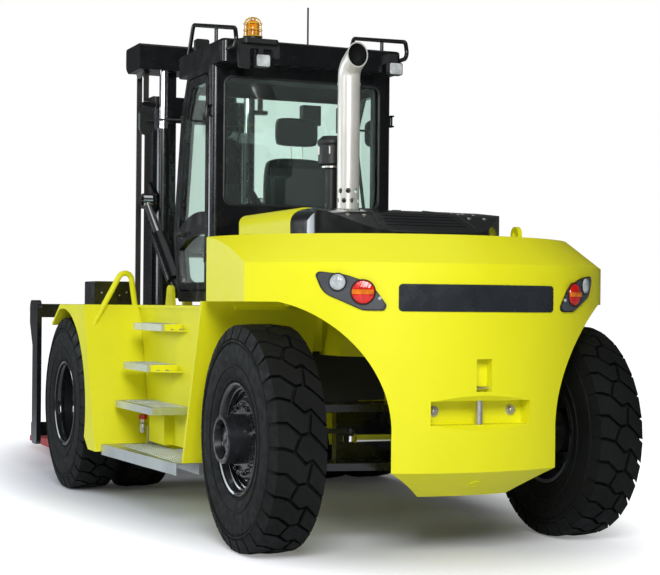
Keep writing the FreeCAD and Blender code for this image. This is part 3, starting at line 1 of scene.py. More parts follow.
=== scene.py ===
import bpy
import bmesh
import math
from mathutils import Matrix, Vector


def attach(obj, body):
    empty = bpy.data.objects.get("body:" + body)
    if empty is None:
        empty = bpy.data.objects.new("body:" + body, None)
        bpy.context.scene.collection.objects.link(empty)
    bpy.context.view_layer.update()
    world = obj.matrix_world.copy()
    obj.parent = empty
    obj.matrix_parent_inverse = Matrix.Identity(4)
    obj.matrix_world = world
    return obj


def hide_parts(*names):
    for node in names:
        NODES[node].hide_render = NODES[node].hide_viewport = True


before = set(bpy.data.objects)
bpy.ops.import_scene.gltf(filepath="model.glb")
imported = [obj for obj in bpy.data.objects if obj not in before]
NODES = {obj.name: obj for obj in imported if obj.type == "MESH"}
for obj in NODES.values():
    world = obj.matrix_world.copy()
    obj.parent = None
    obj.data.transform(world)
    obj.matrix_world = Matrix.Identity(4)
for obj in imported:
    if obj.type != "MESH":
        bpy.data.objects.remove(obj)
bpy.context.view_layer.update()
SCENE = bpy.context.scene
D = bpy.data

# Stations in part.py are forward of the steer axle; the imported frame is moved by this.
SHIFT = -2.9325


# ---- materials ----
class Net:
    """Small helper round one material's node tree."""

    def __init__(self, name):
        self.mat = D.materials.new(name)
        self.mat.use_nodes = True
        self.tree = self.mat.node_tree
        self.shader = self.tree.nodes["Principled BSDF"]
        self.coords = self.add("ShaderNodeTexCoord")

    def add(self, kind):
        return self.tree.nodes.new(kind)

    def link(self, a, b):
        self.tree.links.new(a, b)

    def noise(self, scale, detail, stretch=(1, 1, 1)):
        """Noise on the piece's own coordinates."""
        place = self.add("ShaderNodeMapping")
        place.inputs["Scale"].default_value = stretch
        self.link(self.coords.outputs["Object"], place.inputs["Vector"])
        node = self.add("ShaderNodeTexNoise")
        node.inputs["Scale"].default_value = scale
        node.inputs["Detail"].default_value = detail
        self.link(place.outputs["Vector"], node.inputs["Vector"])
        return node.outputs["Fac"]

    def ramp(self, source, stops):
        """Colour for a value, by stops of (place, colour)."""
        node = self.add("ShaderNodeValToRGB")
        ramp = node.color_ramp
        while len(ramp.elements) < len(stops):
            ramp.elements.new(0.5)
        for element, (at, colour) in zip(ramp.elements, stops):
            element.position = at
            element.color = (*colour, 1)
        self.link(source, node.inputs["Fac"])
        return node.outputs["Color"]

    def grey(self, source, low, high):
        """Number from low to high, over the middle of the noise's range."""
        node = self.add("ShaderNodeMapRange")
        for key, value in (("From Min", 0.3), ("From Max", 0.7), ("To Min", low), ("To Max", high)):
            node.inputs[key].default_value = value
        self.link(source, node.inputs["Value"])
        return node.outputs["Result"]

    def mix(self, fac, a, b):
        node = self.add("ShaderNodeMix")
        node.data_type = "RGBA"
        self.put(node.inputs[0], fac)
        self.put(node.inputs[6], a)
        self.put(node.inputs[7], b)
        return node.outputs[2]

    def put(self, socket, value):
        """Give a socket a link, a colour or a number."""
        if isinstance(value, bpy.types.NodeSocket):
            self.link(value, socket)
        elif isinstance(value, tuple):
            socket.default_value = (*value, 1)
        else:
            socket.default_value = value

    def math(self, kind, a, b):
        node = self.add("ShaderNodeMath")
        node.operation = kind
        self.put(node.inputs[0], a)
        self.put(node.inputs[1], b)
        return node.outputs[0]

    def bump(self, height, strength, distance):
        node = self.add("ShaderNodeBump")
        node.inputs["Strength"].default_value = strength
        node.inputs["Distance"].default_value = distance
        self.link(height, node.inputs["Height"])
        self.link(node.outputs["Normal"], self.shader.inputs["Normal"])

    def set(self, **values):
        """Give the shader's inputs their values, and return the material."""
        for key, value in values.items():
            self.put(self.shader.inputs[key.replace("_", " ")], value)
        return self.mat


def paint(name, colour, dark, rough=0.32, coat=0.35, peel=0.05, specular=0.5):
    """Sprayed machine paint: slight tone drift, orange peel, a thin clear coat."""
    n = Net(name)
    drift = n.noise(1.7, 4)
    fine = n.noise(420, 2)
    n.bump(fine, peel, 0.0015)
    return n.set(Base_Color=n.ramp(drift, [(0.25, dark), (0.75, colour)]),
                 Roughness=n.grey(n.noise(9, 4), rough - 0.05, rough + 0.07),
                 Coat_Weight=coat, Coat_Roughness=0.08, Specular_IOR_Level=specular)


def metal(name, colour, rough, stretch=(1, 1, 1), scale=60, depth=0.15):
    """Bare or plated metal with fine lines, which stretch can draw out."""
    n = Net(name)
    lines = n.noise(scale, 3, stretch)
    n.bump(lines, depth, 0.001)
    tint = tuple(c * 0.8 for c in colour)
    return n.set(Base_Color=n.ramp(n.noise(3, 4), [(0.3, tint), (0.7, colour)]), Metallic=1.0,
                 Roughness=n.grey(lines, rough - 0.06, rough + 0.08))


def plastic(name, colour, rough):
    """Moulded plastic with a fine grain."""
    n = Net(name)
    n.bump(n.noise(500, 2), 0.2, 0.0008)
    light = tuple(min(1, c * 1.35 + 0.004) for c in colour)
    return n.set(Base_Color=n.ramp(n.noise(5, 3), [(0.3, colour), (0.7, light)]),
                 Roughness=n.grey(n.noise(14, 3), rough - 0.05, rough + 0.06))


def rubber(name):
    """Matt black rubber, dusty in specks."""
    n = Net(name)
    broad, fine = n.noise(3.1, 5), n.noise(260, 3)
    n.bump(n.noise(90, 5), 0.25, 0.003)
    shade = n.ramp(broad, [(0.3, (0.004, 0.0046, 0.0045)), (0.7, (0.009, 0.0101, 0.0099))])
    return n.set(Base_Color=n.mix(n.grey(fine, 0.0, 0.18), shade, (0.024, 0.025, 0.0235)),
                 Roughness=n.grey(n.noise(21, 3), 0.55, 0.78), Specular_IOR_Level=0.13)


def satin(name, colour, rough):
    """Aluminised tube: pale, half metallic, with faint drawing lines along it."""
    n = Net(name)
    lines = n.noise(90, 3, (1, 1, 0.06))
    n.bump(lines, 0.06, 0.001)
    warm = (colour[0] * 0.86, colour[1] * 0.84, colour[2] * 0.79)
    return n.set(Base_Color=n.ramp(n.noise(4, 3), [(0.25, warm), (0.7, colour)]), Metallic=0.35,
                 Roughness=n.grey(lines, rough - 0.05, rough + 0.06))


def glass(name, tint):
    """Tinted pane, very slightly wavy."""
    n = Net(name)
    n.bump(n.noise(2.2, 2), 0.02, 0.002)
    deep = tuple(c * 0.96 for c in tint)
    return n.set(Base_Color=n.ramp(n.noise(1.3, 2), [(0.3, tint), (0.7, deep)]),
                 Transmission_Weight=1.0, IOR=1.45, Roughness=n.grey(n.noise(30, 2), 0.02, 0.04))


def lens(name, colour):
    """Coloured lens with ribs."""
    n = Net(name)
    ribs = n.add("ShaderNodeTexWave")
    ribs.inputs["Scale"].default_value = 45
    n.link(n.coords.outputs["Object"], ribs.inputs["Vector"])
    n.bump(ribs.outputs["Fac"], 0.3, 0.002)
    dark = tuple(c * 0.6 for c in colour)
    return n.set(Base_Color=n.ramp(n.noise(24, 2), [(0.3, dark), (0.7, colour)]),
                 Roughness=n.grey(n.noise(30, 2), 0.10, 0.16), Coat_Weight=0.15, Coat_Roughness=0.05)


def fabric(name, colour):
    """Woven seat cloth."""
    n = Net(name)
    weave = n.add("ShaderNodeTexWave")
    weave.inputs["Scale"].default_value = 150
    weave.inputs["Distortion"].default_value = 1.5
    n.link(n.coords.outputs["Object"], weave.inputs["Vector"])
    n.bump(weave.outputs["Fac"], 0.35, 0.002)
    light = tuple(c * 1.6 + 0.003 for c in colour)
    return n.set(Base_Color=n.ramp(n.noise(60, 3), [(0.35, colour), (0.65, light)]),
                 Roughness=n.grey(n.noise(40, 2), 0.8, 0.95), Sheen_Weight=0.25)


M = {
    "yellow": paint("yellow_paint", (0.84, 0.82, 0.013), (0.79, 0.765, 0.007), 0.43, 0.09,
                    specular=0.3),
    "black": paint("black_paint", (0.0055, 0.0065, 0.0078), (0.0036, 0.0043, 0.0052), 0.24, 0.2, 0.05),
    "wheel": paint("wheel_paint", (0.013, 0.014, 0.016), (0.008, 0.009, 0.011), 0.3, 0.5, 0.08),
    "gloss": paint("gloss_black", (0.0085, 0.0095, 0.0105), (0.0055, 0.0065, 0.0075), 0.16, 0.5, 0.03),
    "red": paint("fork_red", (0.52, 0.035, 0.03), (0.40, 0.02, 0.02), 0.42, 0.1),
    "galv": metal("galvanised", (0.62, 0.66, 0.65), 0.42, scale=35),
    "chrome": metal("chrome", (0.78, 0.79, 0.81), 0.14, (1, 1, 0.05), 200, 0.05),
    "stainless": satin("satin_stack", (0.83, 0.825, 0.79), 0.36),
    "zinc": metal("zinc", (0.70, 0.69, 0.64), 0.33),
    "steel": metal("worn_steel", (0.42, 0.41, 0.40), 0.4),
    "chain": metal("chain_steel", (0.10, 0.095, 0.09), 0.42, scale=90),
    "iron": paint("engine_iron", (0.055, 0.056, 0.06), (0.035, 0.035, 0.038), 0.5, 0.0, 0.3),
    "plastic": plastic("black_plastic", (0.010, 0.011, 0.012), 0.45),
    "rubber": rubber("tyre_rubber"),
    "pane": glass("cab_pane", (0.82, 0.965, 0.905)),
    "clear_lens": lens("clear_lens", (0.55, 0.60, 0.62)),
    "bezel": plastic("bezel_grey", (0.050, 0.055, 0.062), 0.40),
    "plate_grey": plastic("plate_grey", (0.014, 0.0175, 0.0215), 0.26),
    "yellow_wire": paint("yellow_wire", (0.85, 0.60, 0.03), (0.8, 0.52, 0.02), 0.4, 0.2),
    "red_lens": lens("red_lens", (0.80, 0.012, 0.006)),
    "amber": lens("amber_lens", (0.95, 0.30, 0.01)),
    "orange": lens("orange_lens", (0.95, 0.24, 0.02)),
    "soot": rubber("soot"),
    "seat": fabric("seat_cloth", (0.006, 0.0065, 0.0075)),
    "pouch": plastic("pouch_vinyl", (0.45, 0.52, 0.48), 0.4),
    "face": lens("lamp_glass", (0.72, 0.76, 0.78)),
}
PLAIN = {
    "frame": "yellow", "counterweight": "yellow", "side_tanks": "yellow", "handrails": "yellow",
    "hood_sides": "yellow", "hood_cowl": "gloss", "hood_lid": "gloss", "steps": "galv", "engine": "iron",
    "drive_axle": "black", "steer_axle": "black", "steer_rod": "chrome",
    "cab_shell": "black", "cab_roof": "black", "cab_glass": "pane", "mirrors": "plastic",
    "seat_base": "plastic", "seat_cushions": "seat",
    "steering_column": "plastic", "steering_wheel": "plastic", "exhaust_stack": "stainless",
    "air_intake": "plastic", "roof_rails": "black", "beacon": "amber",
    "antenna": "plastic", "work_lamps": "plastic", "tail_lamps": "red_lens", "tow_pin": "zinc",
    "deck_box": "black", "outer_mast": "black", "lift_barrels": "black", "inner_mast": "black",
    "lift_rods": "chrome", "lift_chains": "chain", "carriage": "black",
}
SIDED = {
    "drive_tyres": "rubber", "drive_rim": "wheel", "steer_tyre": "rubber", "steer_rim": "wheel",
    "knuckle": "black", "tie_link": "black", "door": "black", "door_glass": "pane",
    "tilt_barrel": "black", "tilt_rod": "chrome", "fork": "red",
}
SIDES = (("left", 1), ("right", -1))
for side, _ in SIDES:
    PLAIN.update({f"{stem}_{side}": kind for stem, kind in SIDED.items()})
for name, node in NODES.items():
    for slot in node.material_slots:
        slot.material = M[PLAIN[name]]


# ---- building small pieces, in the millimetres and stations of part.py ----
def at(x, y, z):
    """Place in the frame, in metres, of a station in millimetres."""
    return Vector((x / 1000 + SHIFT, y / 1000, z / 1000))


class Form:
    """Collects simple solids into one mesh; every coordinate is a station in millimetres."""

    def __init__(self):
        self.points, self.faces = [], []

    def add(self, points, faces):
        base = len(self.points)
        self.points += [Vector(p) for p in points]
        self.faces += [[base + i for i in face] for face in faces]
        return self

    def loft(self, rings, caps=True):
        """Skin over rings that all have the same count of points."""
        n = len(rings[0])
        faces = []
        for k in range(len(rings) - 1):
            for i in range(n):
                j = (i + 1) % n
                faces.append((k * n + i, k * n + j, (k + 1) * n + j, (k + 1) * n + i))
        if caps:
            faces.append(tuple(reversed(range(n))))
            faces.append(tuple(range((len(rings) - 1) * n, len(rings) * n)))
        return self.add([p for ring in rings for p in ring], faces)

    def box(self, x, y, z):
        low = [(x[0], y[0], z[0]), (x[1], y[0], z[0]), (x[1], y[1], z[0]), (x[0], y[1], z[0])]
        return self.loft([low, [(a, b, z[1]) for a, b, _ in low]])

    def rod(self, start, end, radius, sides=24):
        start, end = Vector(start), Vector(end)
        axis = (end - start).normalized()
        side = axis.orthogonal().normalized()
        up = axis.cross(side)
        turns = [2 * math.pi * (i + 0.5) / sides for i in range(sides)]
        return self.loft([[c + (side * math.cos(t) + up * math.sin(t)) * radius for t in turns]
                          for c in (start, end)])

    def turned(self, profile, centre, axis, sides):
        """Skin turned about an axis; the profile holds (along, radius)."""
        centre, axis = Vector(centre), Vector(axis).normalized()
        side = axis.orthogonal().normalized()
        up = axis.cross(side)
        turns = [2 * math.pi * i / sides for i in range(sides)]
        rings = [[centre + axis * a + (side * math.cos(t) + up * math.sin(t)) * r for t in turns]
                 for a, r in profile]
        return self.loft(rings, caps=False)

    def tube(self, points, radius, sides, closed=False):
        """Round tube along points, as a ring where it is closed."""
        points = [Vector(p) for p in points]
        count = len(points)
        rings, side = [], None
        for i, p in enumerate(points):
            ahead = points[(i + 1) % count] if closed or i + 1 < count else p
            behind = points[i - 1] if closed or i else p
            axis = (ahead - behind).normalized()
            side = axis.orthogonal() if side is None else side - axis * side.dot(axis)
            side.normalize()
            up = axis.cross(side)
            turns = [2 * math.pi * k / sides for k in range(sides)]
            rings.append([p + (side * math.cos(t) + up * math.sin(t)) * radius for t in turns])
        if closed:
            rings.append(rings[0])
        return self.loft(rings, caps=not closed)

    def nut(self, place, out, size, height):
        """Hexagon head, with its stud's end showing."""
        place, out = Vector(place), Vector(out).normalized()
        self.rod(place, place + out * height, size, 6)
        return self.rod(place + out * height, place + out * height * 1.5, size * 0.5, 12)

    def on_side(self, s):
        """This form on the left (s = 1), or mirrored to the right (s = -1)."""
        if s > 0:
            return self
        other = Form()
        other.add([(p.x, -p.y, p.z) for p in self.points], [tuple(reversed(f)) for f in self.faces])
        return other

    def make(self, name, material, body, bevel=0.0, smooth=35, segments=2):
        """The piece: bevel in millimetres, smooth as the sharpest soft angle, riding on body."""
        mesh = D.meshes.new(name)
        mesh.from_pydata([at(*p) for p in self.points], [], self.faces)
        form = bmesh.new()
        form.from_mesh(mesh)
        bmesh.ops.remove_doubles(form, verts=form.verts, dist=1e-5)
        bmesh.ops.recalc_face_normals(form, faces=form.faces)
        form.to_mesh(mesh)
        form.free()
        obj = D.objects.new(name, mesh)
        SCENE.collection.objects.link(obj)
        mesh.materials.append(M[material])
        mesh.polygons.foreach_set("use_smooth", [True] * len(mesh.polygons))
        mesh.set_sharp_from_angle(angle=math.radians(smooth))
        if bevel:
            modifier = obj.modifiers.new("bevel", "BEVEL")
            modifier.width = bevel / 1000
            modifier.segments = segments
            modifier.limit_method = "ANGLE"
            modifier.angle_limit = math.radians(40)
            modifier.harden_normals = True
        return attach(obj, body)


def circle(centre, radius, sides):
    """Points (x, y) of a level circle."""
    return [(centre[0] + radius * math.cos(2 * math.pi * i / sides),
             centre[1] + radius * math.sin(2 * math.pi * i / sides)) for i in range(sides)]


def rounded(corners, steps):
    """Flat outline from (a, b, radius) corners, with each corner as a short arc."""
    out = []
    for i, (a, b, radius) in enumerate(corners):
        p = Vector((a, b))
        back = (Vector(corners[i - 1][:2]) - p).normalized()
        on = (Vector(corners[(i + 1) % len(corners)][:2]) - p).normalized()
        half = back.angle(on) / 2
        start = p + back * radius / math.tan(half)
        end = p + on * radius / math.tan(half)
        centre = p + (back + on).normalized() * radius / math.sin(half)
        for k in range(steps + 1):
            spoke = (start - centre).lerp(end - centre, k / steps)
            out.append(tuple(centre + spoke.normalized() * radius))
    return out


def rounded_box(a, b, radius, steps):
    """Flat outline of a rectangle over the spans a and b, with round corners."""
    return rounded([(a[0], b[0], radius), (a[1], b[0], radius), (a[1], b[1], radius),
                    (a[0], b[1], radius)], steps)


# ---- tyres: staggered blocks on a moulded carcass ----
TYRE_R, TYRE_HALF, RIM_R = 616, 157.5, 305
ROWS, TREAD_DEPTH, GROOVE = 30, 30, 9
EDGE = TYRE_HALF - 24
CROWN, BLOCK_ROOT, SHOULDER_DEPTH, BLOCK_BEVEL = 7, 8, 78, 3.5
# The two zigzag grooves, as (share of half width, share of a row) down the tread.
GROOVE_ONE = ((-1, 0.0), (-0.65, 0.02), (-0.1, 0.5), (0.25, 0.42), (0.45, 0.6), (1, 1.15))
GROOVE_TWO = ((-1, 0.0), (-0.8, 0.0), (-0.35, 0.15), (0.1, 0.62), (0.38, 0.5), (1, 1.2))


def tread_outlines():
    """Four block outlines of one repeat, as (lateral, rows) pairs."""
    one, two = GROOVE_ONE, GROOVE_TWO

    def down(groove, rows):
        return [(t, s + rows) for t, s in groove]

    long_left = down(two[:5], 0) + down(one[3::-1], 1)
    short_right = down(two[4:], 0) + down(one[:2:-1], 1)
    short_left = down(one[:3], 1) + down(two[2::-1], 2)
    long_right = down(one[2:], 1) + down(two[:1:-1], 2)
    return long_left, short_right, short_left, long_right


def inset(points, gap):
    """Outline moved inward by gap, except along the tread's own edge."""
    area = sum(points[i - 1][0] * p[1] - p[0] * points[i - 1][1] for i, p in enumerate(points))
    turn = 1 if area > 0 else -1
    out = []
    for i, p in enumerate(points):
        p, a, b = Vector(p), Vector(points[i - 1]), Vector(points[(i + 1) % len(points)])
        d1, d2 = (p - a).normalized(), (b - p).normalized()
        n1, n2 = Vector((-d1.y, d1.x)) * turn, Vector((-d2.y, d2.x)) * turn
        mid = (n1 + n2).normalized()
        q = p + mid * gap / max(0.45, mid.dot(n1))
        if abs(abs(p.x) - EDGE) < 1:
            q.x = p.x
            q.y = p.y + math.copysign(gap, (n1 + n2).y) if abs(n1.y) + abs(n2.y) > 0.2 else q.y
        out.append(q)
    return out


def tyre(form, centre):
    """Blocks of both grooves all round, and the carcass with its sidewall rings."""
    x0, y0, z0 = centre
    pitch = 2 * math.pi * TYRE_R / ROWS

    def wrap(lateral, run, radius):
        angle = run / TYRE_R
        return (x0 - radius * math.cos(angle), y0 - lateral, z0 - radius * math.sin(angle))

    outlines = [inset([(t * EDGE, s * pitch) for t, s in outline], GROOVE)
                for outline in tread_outlines()]
    for repeat in range(ROWS // 2):
        for outline in outlines:
            top, foot = [], []
            for lateral, along in outline:
                run = along + repeat * 2 * pitch
                shoulder = abs(abs(lateral) - EDGE) < 1
                crown = CROWN * (lateral / EDGE) ** 4
                top.append(wrap(lateral, run, TYRE_R - crown))
                if shoulder:
                    side = math.copysign(TYRE_HALF - 1, lateral)
                    foot.append(wrap(side, run, TYRE_R - SHOULDER_DEPTH))
                else:
                    foot.append(wrap(lateral, run, TYRE_R - TREAD_DEPTH - BLOCK_ROOT))
            form.loft([foot, top])
    # Half of the carcass, as (lateral, radius) from the bead over the sidewall's rings to the tread.
    half = [(125.5, RIM_R - 4), (137, RIM_R + 6), (145, RIM_R + 13), (146, RIM_R + 19),
            (140, RIM_R + 22), (142, RIM_R + 30), (152, RIM_R + 52), (154, RIM_R + 78),
            (160, RIM_R + 83), (160, RIM_R + 91), (154, RIM_R + 96), (157, RIM_R + 140),
            (156, RIM_R + 186), (154, RIM_R + 203), (149, RIM_R + 206), (149, RIM_R + 211),
            (159, RIM_R + 215), (159, RIM_R + 224), (151, RIM_R + 229), (148, RIM_R + 234),
            (TYRE_HALF - 14, TYRE_R - 54), (EDGE - 10, TYRE_R - TREAD_DEPTH - 1),
            (60, TYRE_R - TREAD_DEPTH + 1)]
    profile = [(-a, r) for a, r in half] + [(a, r) for a, r in reversed(half)]
    form.turned(profile, (x0, y0, z0), (0, 1, 0), 120)
    return form


STEER_Y, DRIVE_X, DRIVE_Y = 950, 3180, (1122.5, 737.5)
WHEEL_Z = TYRE_R
for side, s in SIDES:
    single = tyre(Form(), (0, s * STEER_Y, WHEEL_Z))
    steer = single.make(f"steer_tread_{side}", "rubber", f"steer_wheel_{side}", BLOCK_BEVEL)
    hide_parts(f"steer_tyre_{side}")
    pair = Form()
    for y in DRIVE_Y:
        tyre(pair, (DRIVE_X, s * y, WHEEL_Z))
    drive = pair.make(f"drive_tread_{side}", "rubber", f"drive_wheels_{side}", BLOCK_BEVEL)
    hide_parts(f"drive_tyres_{side}")


# ---- wheels: nuts, hub caps and rim rings ----
ACROSS = (0, 1, 0)
PLANET_Y, DRIVE_RIM_FACE_Y = 930, 1260


def nuts(form, centre, out, circle_r, count, size=17, height=20):
    """Ring of wheel nuts round a lateral axis."""
    for i in range(count):
        a = 2 * math.pi * (i + 0.5) / count
        form.nut((centre[0] + circle_r * math.cos(a), centre[1], centre[2] + circle_r * math.sin(a)),
                 (0, out, 0), size, height)


for side, s in SIDES:
    hub = Form()
    y = s * STEER_Y
    nuts(hub, (0, y + s * 100, WHEEL_Z), s, 184, 20, 14, 16)
    nuts(hub, (0, y + s * 227, WHEEL_Z), s, 115, 12, 6, 4)
    hub.make(f"steer_nuts_{side}", "wheel", f"steer_wheel_{side}", 0.8, segments=1)
    cap, centre = Form(), (0, y, WHEEL_Z)
    for profile, sides in (
            (((170.5, 95), (174, 78), (196, 70), (200, 60), (200, 26), (196, 0.5)), 48),
            (((128, 284), (137, 290), (142, 301), (139, 306)), 96),
            (((90, 275), (92, 269), (101, 269), (105, 280)), 96),
            (((66, 267), (68, 261), (77, 261), (81, 272)), 96),
            (((59, 240), (67, 237), (70, 231), (67, 225), (59, 222)), 72)):
        cap.turned([(s * depth, r) for depth, r in profile], centre, ACROSS, sides)
    cap.make(f"steer_hub_cap_{side}", "gloss", f"steer_wheel_{side}", 0, 30)
    planet = Form()
    nuts(planet, (DRIVE_X, s * (PLANET_Y + 14), WHEEL_Z), s, 232, 14)
    nuts(planet, (DRIVE_X, s * (PLANET_Y + 150), WHEEL_Z), s, 104, 16, 9, 9)
    planet.make(f"drive_nuts_{side}", "zinc", f"drive_wheels_{side}", 0.8, segments=1)
    ring = Form()
    for profile in (
            ((-6, 306), (3, 303), (5, 296), (0, 288), (-14, 285), (-24, 276), (-40, 272), (-52, 273),
             (-60, 281), (-66, 283.5)),
            ((-120, 283.5), (-126, 272), (-140, 268), (-150, 272), (-156, 283.5))):
        ring.turned(profile, (DRIVE_X, s * DRIVE_RIM_FACE_Y, WHEEL_Z), (0, s, 0), 96)
    ring.make(f"drive_rim_rings_{side}", "gloss", f"drive_wheels_{side}", 0, 30)

# ---- deck box: folded lip, screws and a sight glass on its rear face ----
DECK_TOP = 1325
BOX_X, BOX_Y, BOX_LONG, BOX_WIDE, BOX_HIGH = DRIVE_X - 400, 880, 282, 270, 160
BOX_ENDS = (BOX_Y - 4, BOX_Y + BOX_WIDE + 4)
LIP_TOP = DECK_TOP + BOX_HIGH + 4
lip = Form()
for y in (BOX_Y + 4, BOX_Y + BOX_WIDE - 12):
    lip.box((BOX_X - 7, BOX_X + BOX_LONG), (y, y + 8), (LIP_TOP - 18, LIP_TOP))
lip.box((BOX_X - 9, BOX_X), BOX_ENDS, (LIP_TOP - 24, LIP_TOP))
lip.box((BOX_X - 6, BOX_X), BOX_ENDS, (DECK_TOP + 1, DECK_TOP + 14))
lip.make("deck_box_lip", "black", "chassis", 1.5)
screws = Form()
for y, z, proud, r, sides in ((40, 88, 4, 6, 12), (92, 66, 4, 6, 12), (135, 90, 4, 6, 12),
                              (220, 84, 4, 6, 12), (176, 62, 6, 13, 24)):
    screws.rod((BOX_X, BOX_Y + y, DECK_TOP + z), (BOX_X - proud, BOX_Y + y, DECK_TOP + z), r, sides)
screws.make("deck_box_screws", "zinc", "chassis", 0.8)

# ---- tail: blank plate, tow bolts, plug and lamp clusters, on the counterweight ----
WEIGHT_X, WEIGHT_R = 545, 1300


def on_weight(y, z, lift=0.0):
    """Point on the counterweight's back, lift millimetres off it."""
    angle = math.asin(y / WEIGHT_R)
    r = WEIGHT_R + lift
    return (WEIGHT_X - r * math.cos(angle), r * math.sin(angle), z)


def weight_normal(y, z):
    """Outward direction of the counterweight's back, one millimetre long."""
    return Vector(on_weight(y, z, 1)) - Vector(on_weight(y, z))


def curved_plate(form, outline, low, high, columns=24):
    """Sheet that follows the counterweight, cut to a flat (y, z) outline by scan columns."""
    ys = [p[0] for p in outline]
    y0, y1 = min(ys), max(ys)
    rings = []
    for k in range(columns + 1):
        y = y0 + (y1 - y0) * (0.5 - 0.5 * math.cos(math.pi * k / columns))
        y = min(max(y, y0 + 0.01), y1 - 0.01)
        cuts = []
        for i, (a, za) in enumerate(outline):
            b, zb = outline[(i + 1) % len(outline)]
            if (a - y) * (b - y) < 0:
                cuts.append(za + (zb - za) * (y - a) / (b - a))
        z0, z1 = min(cuts), max(cuts)
        rings.append([on_weight(y, z0, low), on_weight(y, z1, low), on_weight(y, z1, high),
                      on_weight(y, z0, high)])
    return form.loft(rings)


PLATE_HALF_Y, PLATE_Z, PLATE_CORNER = 457, (1308, 1449), 18
plate_edge = rounded_box((-PLATE_HALF_Y, PLATE_HALF_Y), PLATE_Z, PLATE_CORNER, 4)
blank = Form()
curved_plate(blank, plate_edge, 0.5, 4)
blank.make("tail_plate", "plate_grey", "chassis", 0)

POCKET_X, TOW_BOLT_Y, TOW_BOLT_Z = -625, 230, 790
RETAINER_X, RETAINER_Z = -712, 912
tow_bolts, weight_plug = Form(), Form()
for y in (-TOW_BOLT_Y, TOW_BOLT_Y):
    root = Vector((POCKET_X, y, TOW_BOLT_Z))
    tow_bolts.turned([(0, 30), (3, 30), (4, 27), (4, 20)], root, (-1, 0, 0), 24)
    tow_bolts.rod(root, root - Vector((19, 0, 0)), 19, 6)
    tow_bolts.rod(root - Vector((19, 0, 0)), root - Vector((25, 0, 0)), 11, 16)
tow_bolts.rod((RETAINER_X, -43, RETAINER_Z), (RETAINER_X, 43, RETAINER_Z), 9, 14)
tow_bolts.turned([(0, 14), (12, 14), (14, 10), (14, 0.5)], (RETAINER_X, 30, RETAINER_Z), (0, -1, 0), 16)
tow_bolts.make("tow_bolts", "zinc", "chassis", 0, 40)
weight_plug.turned([(-2, 36), (2, 36), (5, 32), (5, 26), (1, 23), (1, 0.5)], (-652.5, 0, 406),
                   (-0.575, 0, -0.818), 32)
weight_plug.make("weight_plug", "yellow", "chassis", 0, 40)

# The left cluster, as (y, z) on the tail; the bezel's corners have their radius third.
BEZEL_EDGE = [(505, 1316, 22), (628, 1318, 60), (790, 1400, 90), (826, 1507, 18), (700, 1490, 200),
              (592, 1448, 70)]
SEAL_SPREAD = 1.065
CLEAR_LAMP, CLEAR_R = (733, 1455), 42
RED_LAMP, RED_R = (622, 1405), 60
BAND_HALF, BAND_LOW, BAND_HIGH, BAND_STEPS = 56, -11, 13, 12
DOT = (546, 1374)


def band_section(base, out, across, v):
    """Cross-section of the indicator band, v along it, on the red lens's dome."""
    sag = 34 - 4 * (v / RED_R) ** 2
    return [base + out * (sag + lift) + across * v + Vector((0, 0, z))
            for lift, z in ((-6, BAND_LOW), (-6, BAND_HIGH), (1, BAND_HIGH), (1, BAND_LOW))]


for side, s in SIDES:
    edge = rounded(BEZEL_EDGE, 6)
    bezel, seal, clear, red, band, dot = (Form() for _ in range(6))
    curved_plate(bezel, edge, 0.6, 13, 40)
    middle = sum((Vector(p) for p in edge), Vector((0, 0))) / len(edge)
    curved_plate(seal, [tuple(middle + (Vector(p) - middle) * SEAL_SPREAD) for p in edge], 0.4, 8, 40)
    for form, lamp, r in ((clear, CLEAR_LAMP, CLEAR_R), (red, RED_LAMP, RED_R)):
        out = weight_normal(*lamp)
        form.turned([(4, r), (18, r), (24, r - 4), (30, r * 0.6), (32, 0.5)], on_weight(*lamp), out, 40)
        seal.turned([(10, r + 6), (18, r + 6), (21, r + 2), (18, r - 1)], on_weight(*lamp), out, 40)
    base, out = Vector(on_weight(*RED_LAMP)), weight_normal(*RED_LAMP).normalized()
    across = Vector((0, 0, 1)).cross(out)
    band.loft([band_section(base, out, across, -BAND_HALF + 2 * BAND_HALF * k / BAND_STEPS)
               for k in range(BAND_STEPS + 1)])
    dot.turned([(8, 9), (15, 9), (17, 6), (17, 0.5)], on_weight(*DOT), weight_normal(*DOT), 20)
    for form, name, kind in ((bezel, "lamp_bezel", "bezel"), (seal, "lamp_seal", "plastic"),
                             (clear, "reversing_lamp", "clear_lens"), (red, "brake_lamp", "red_lens"),
                             (band, "indicator_band", "orange"), (dot, "reflector_dot", "clear_lens")):
        piece = form.on_side(s).make(f"{name}_{side}", kind, "chassis", 0)
        if name == "lamp_bezel" and s > 0:
            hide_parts("tail_lamps")

# ---- lift chains: leaf chain over the sheaves ----
CHAIN_Y, SHEAVE_X, SHEAVE_R, CHAIN_LINK = 475, 3950, 85, 50.8
SHEAVE_Z, CHAIN_FRONT_LOW, CHAIN_REAR_LOW = 3210, 700, 2910
CHAIN_ARC_R = SHEAVE_R + 8
PLATE_R, PLATE_HALF, PIN_R, PIN_HALF = 10.5, 1.9, 4.5, 20
# Lateral places of the plates, in turn for every other link.
PLATES = ((-17.5, -9, 0, 9, 17.5), (-13, -4.5, 4.5, 13))


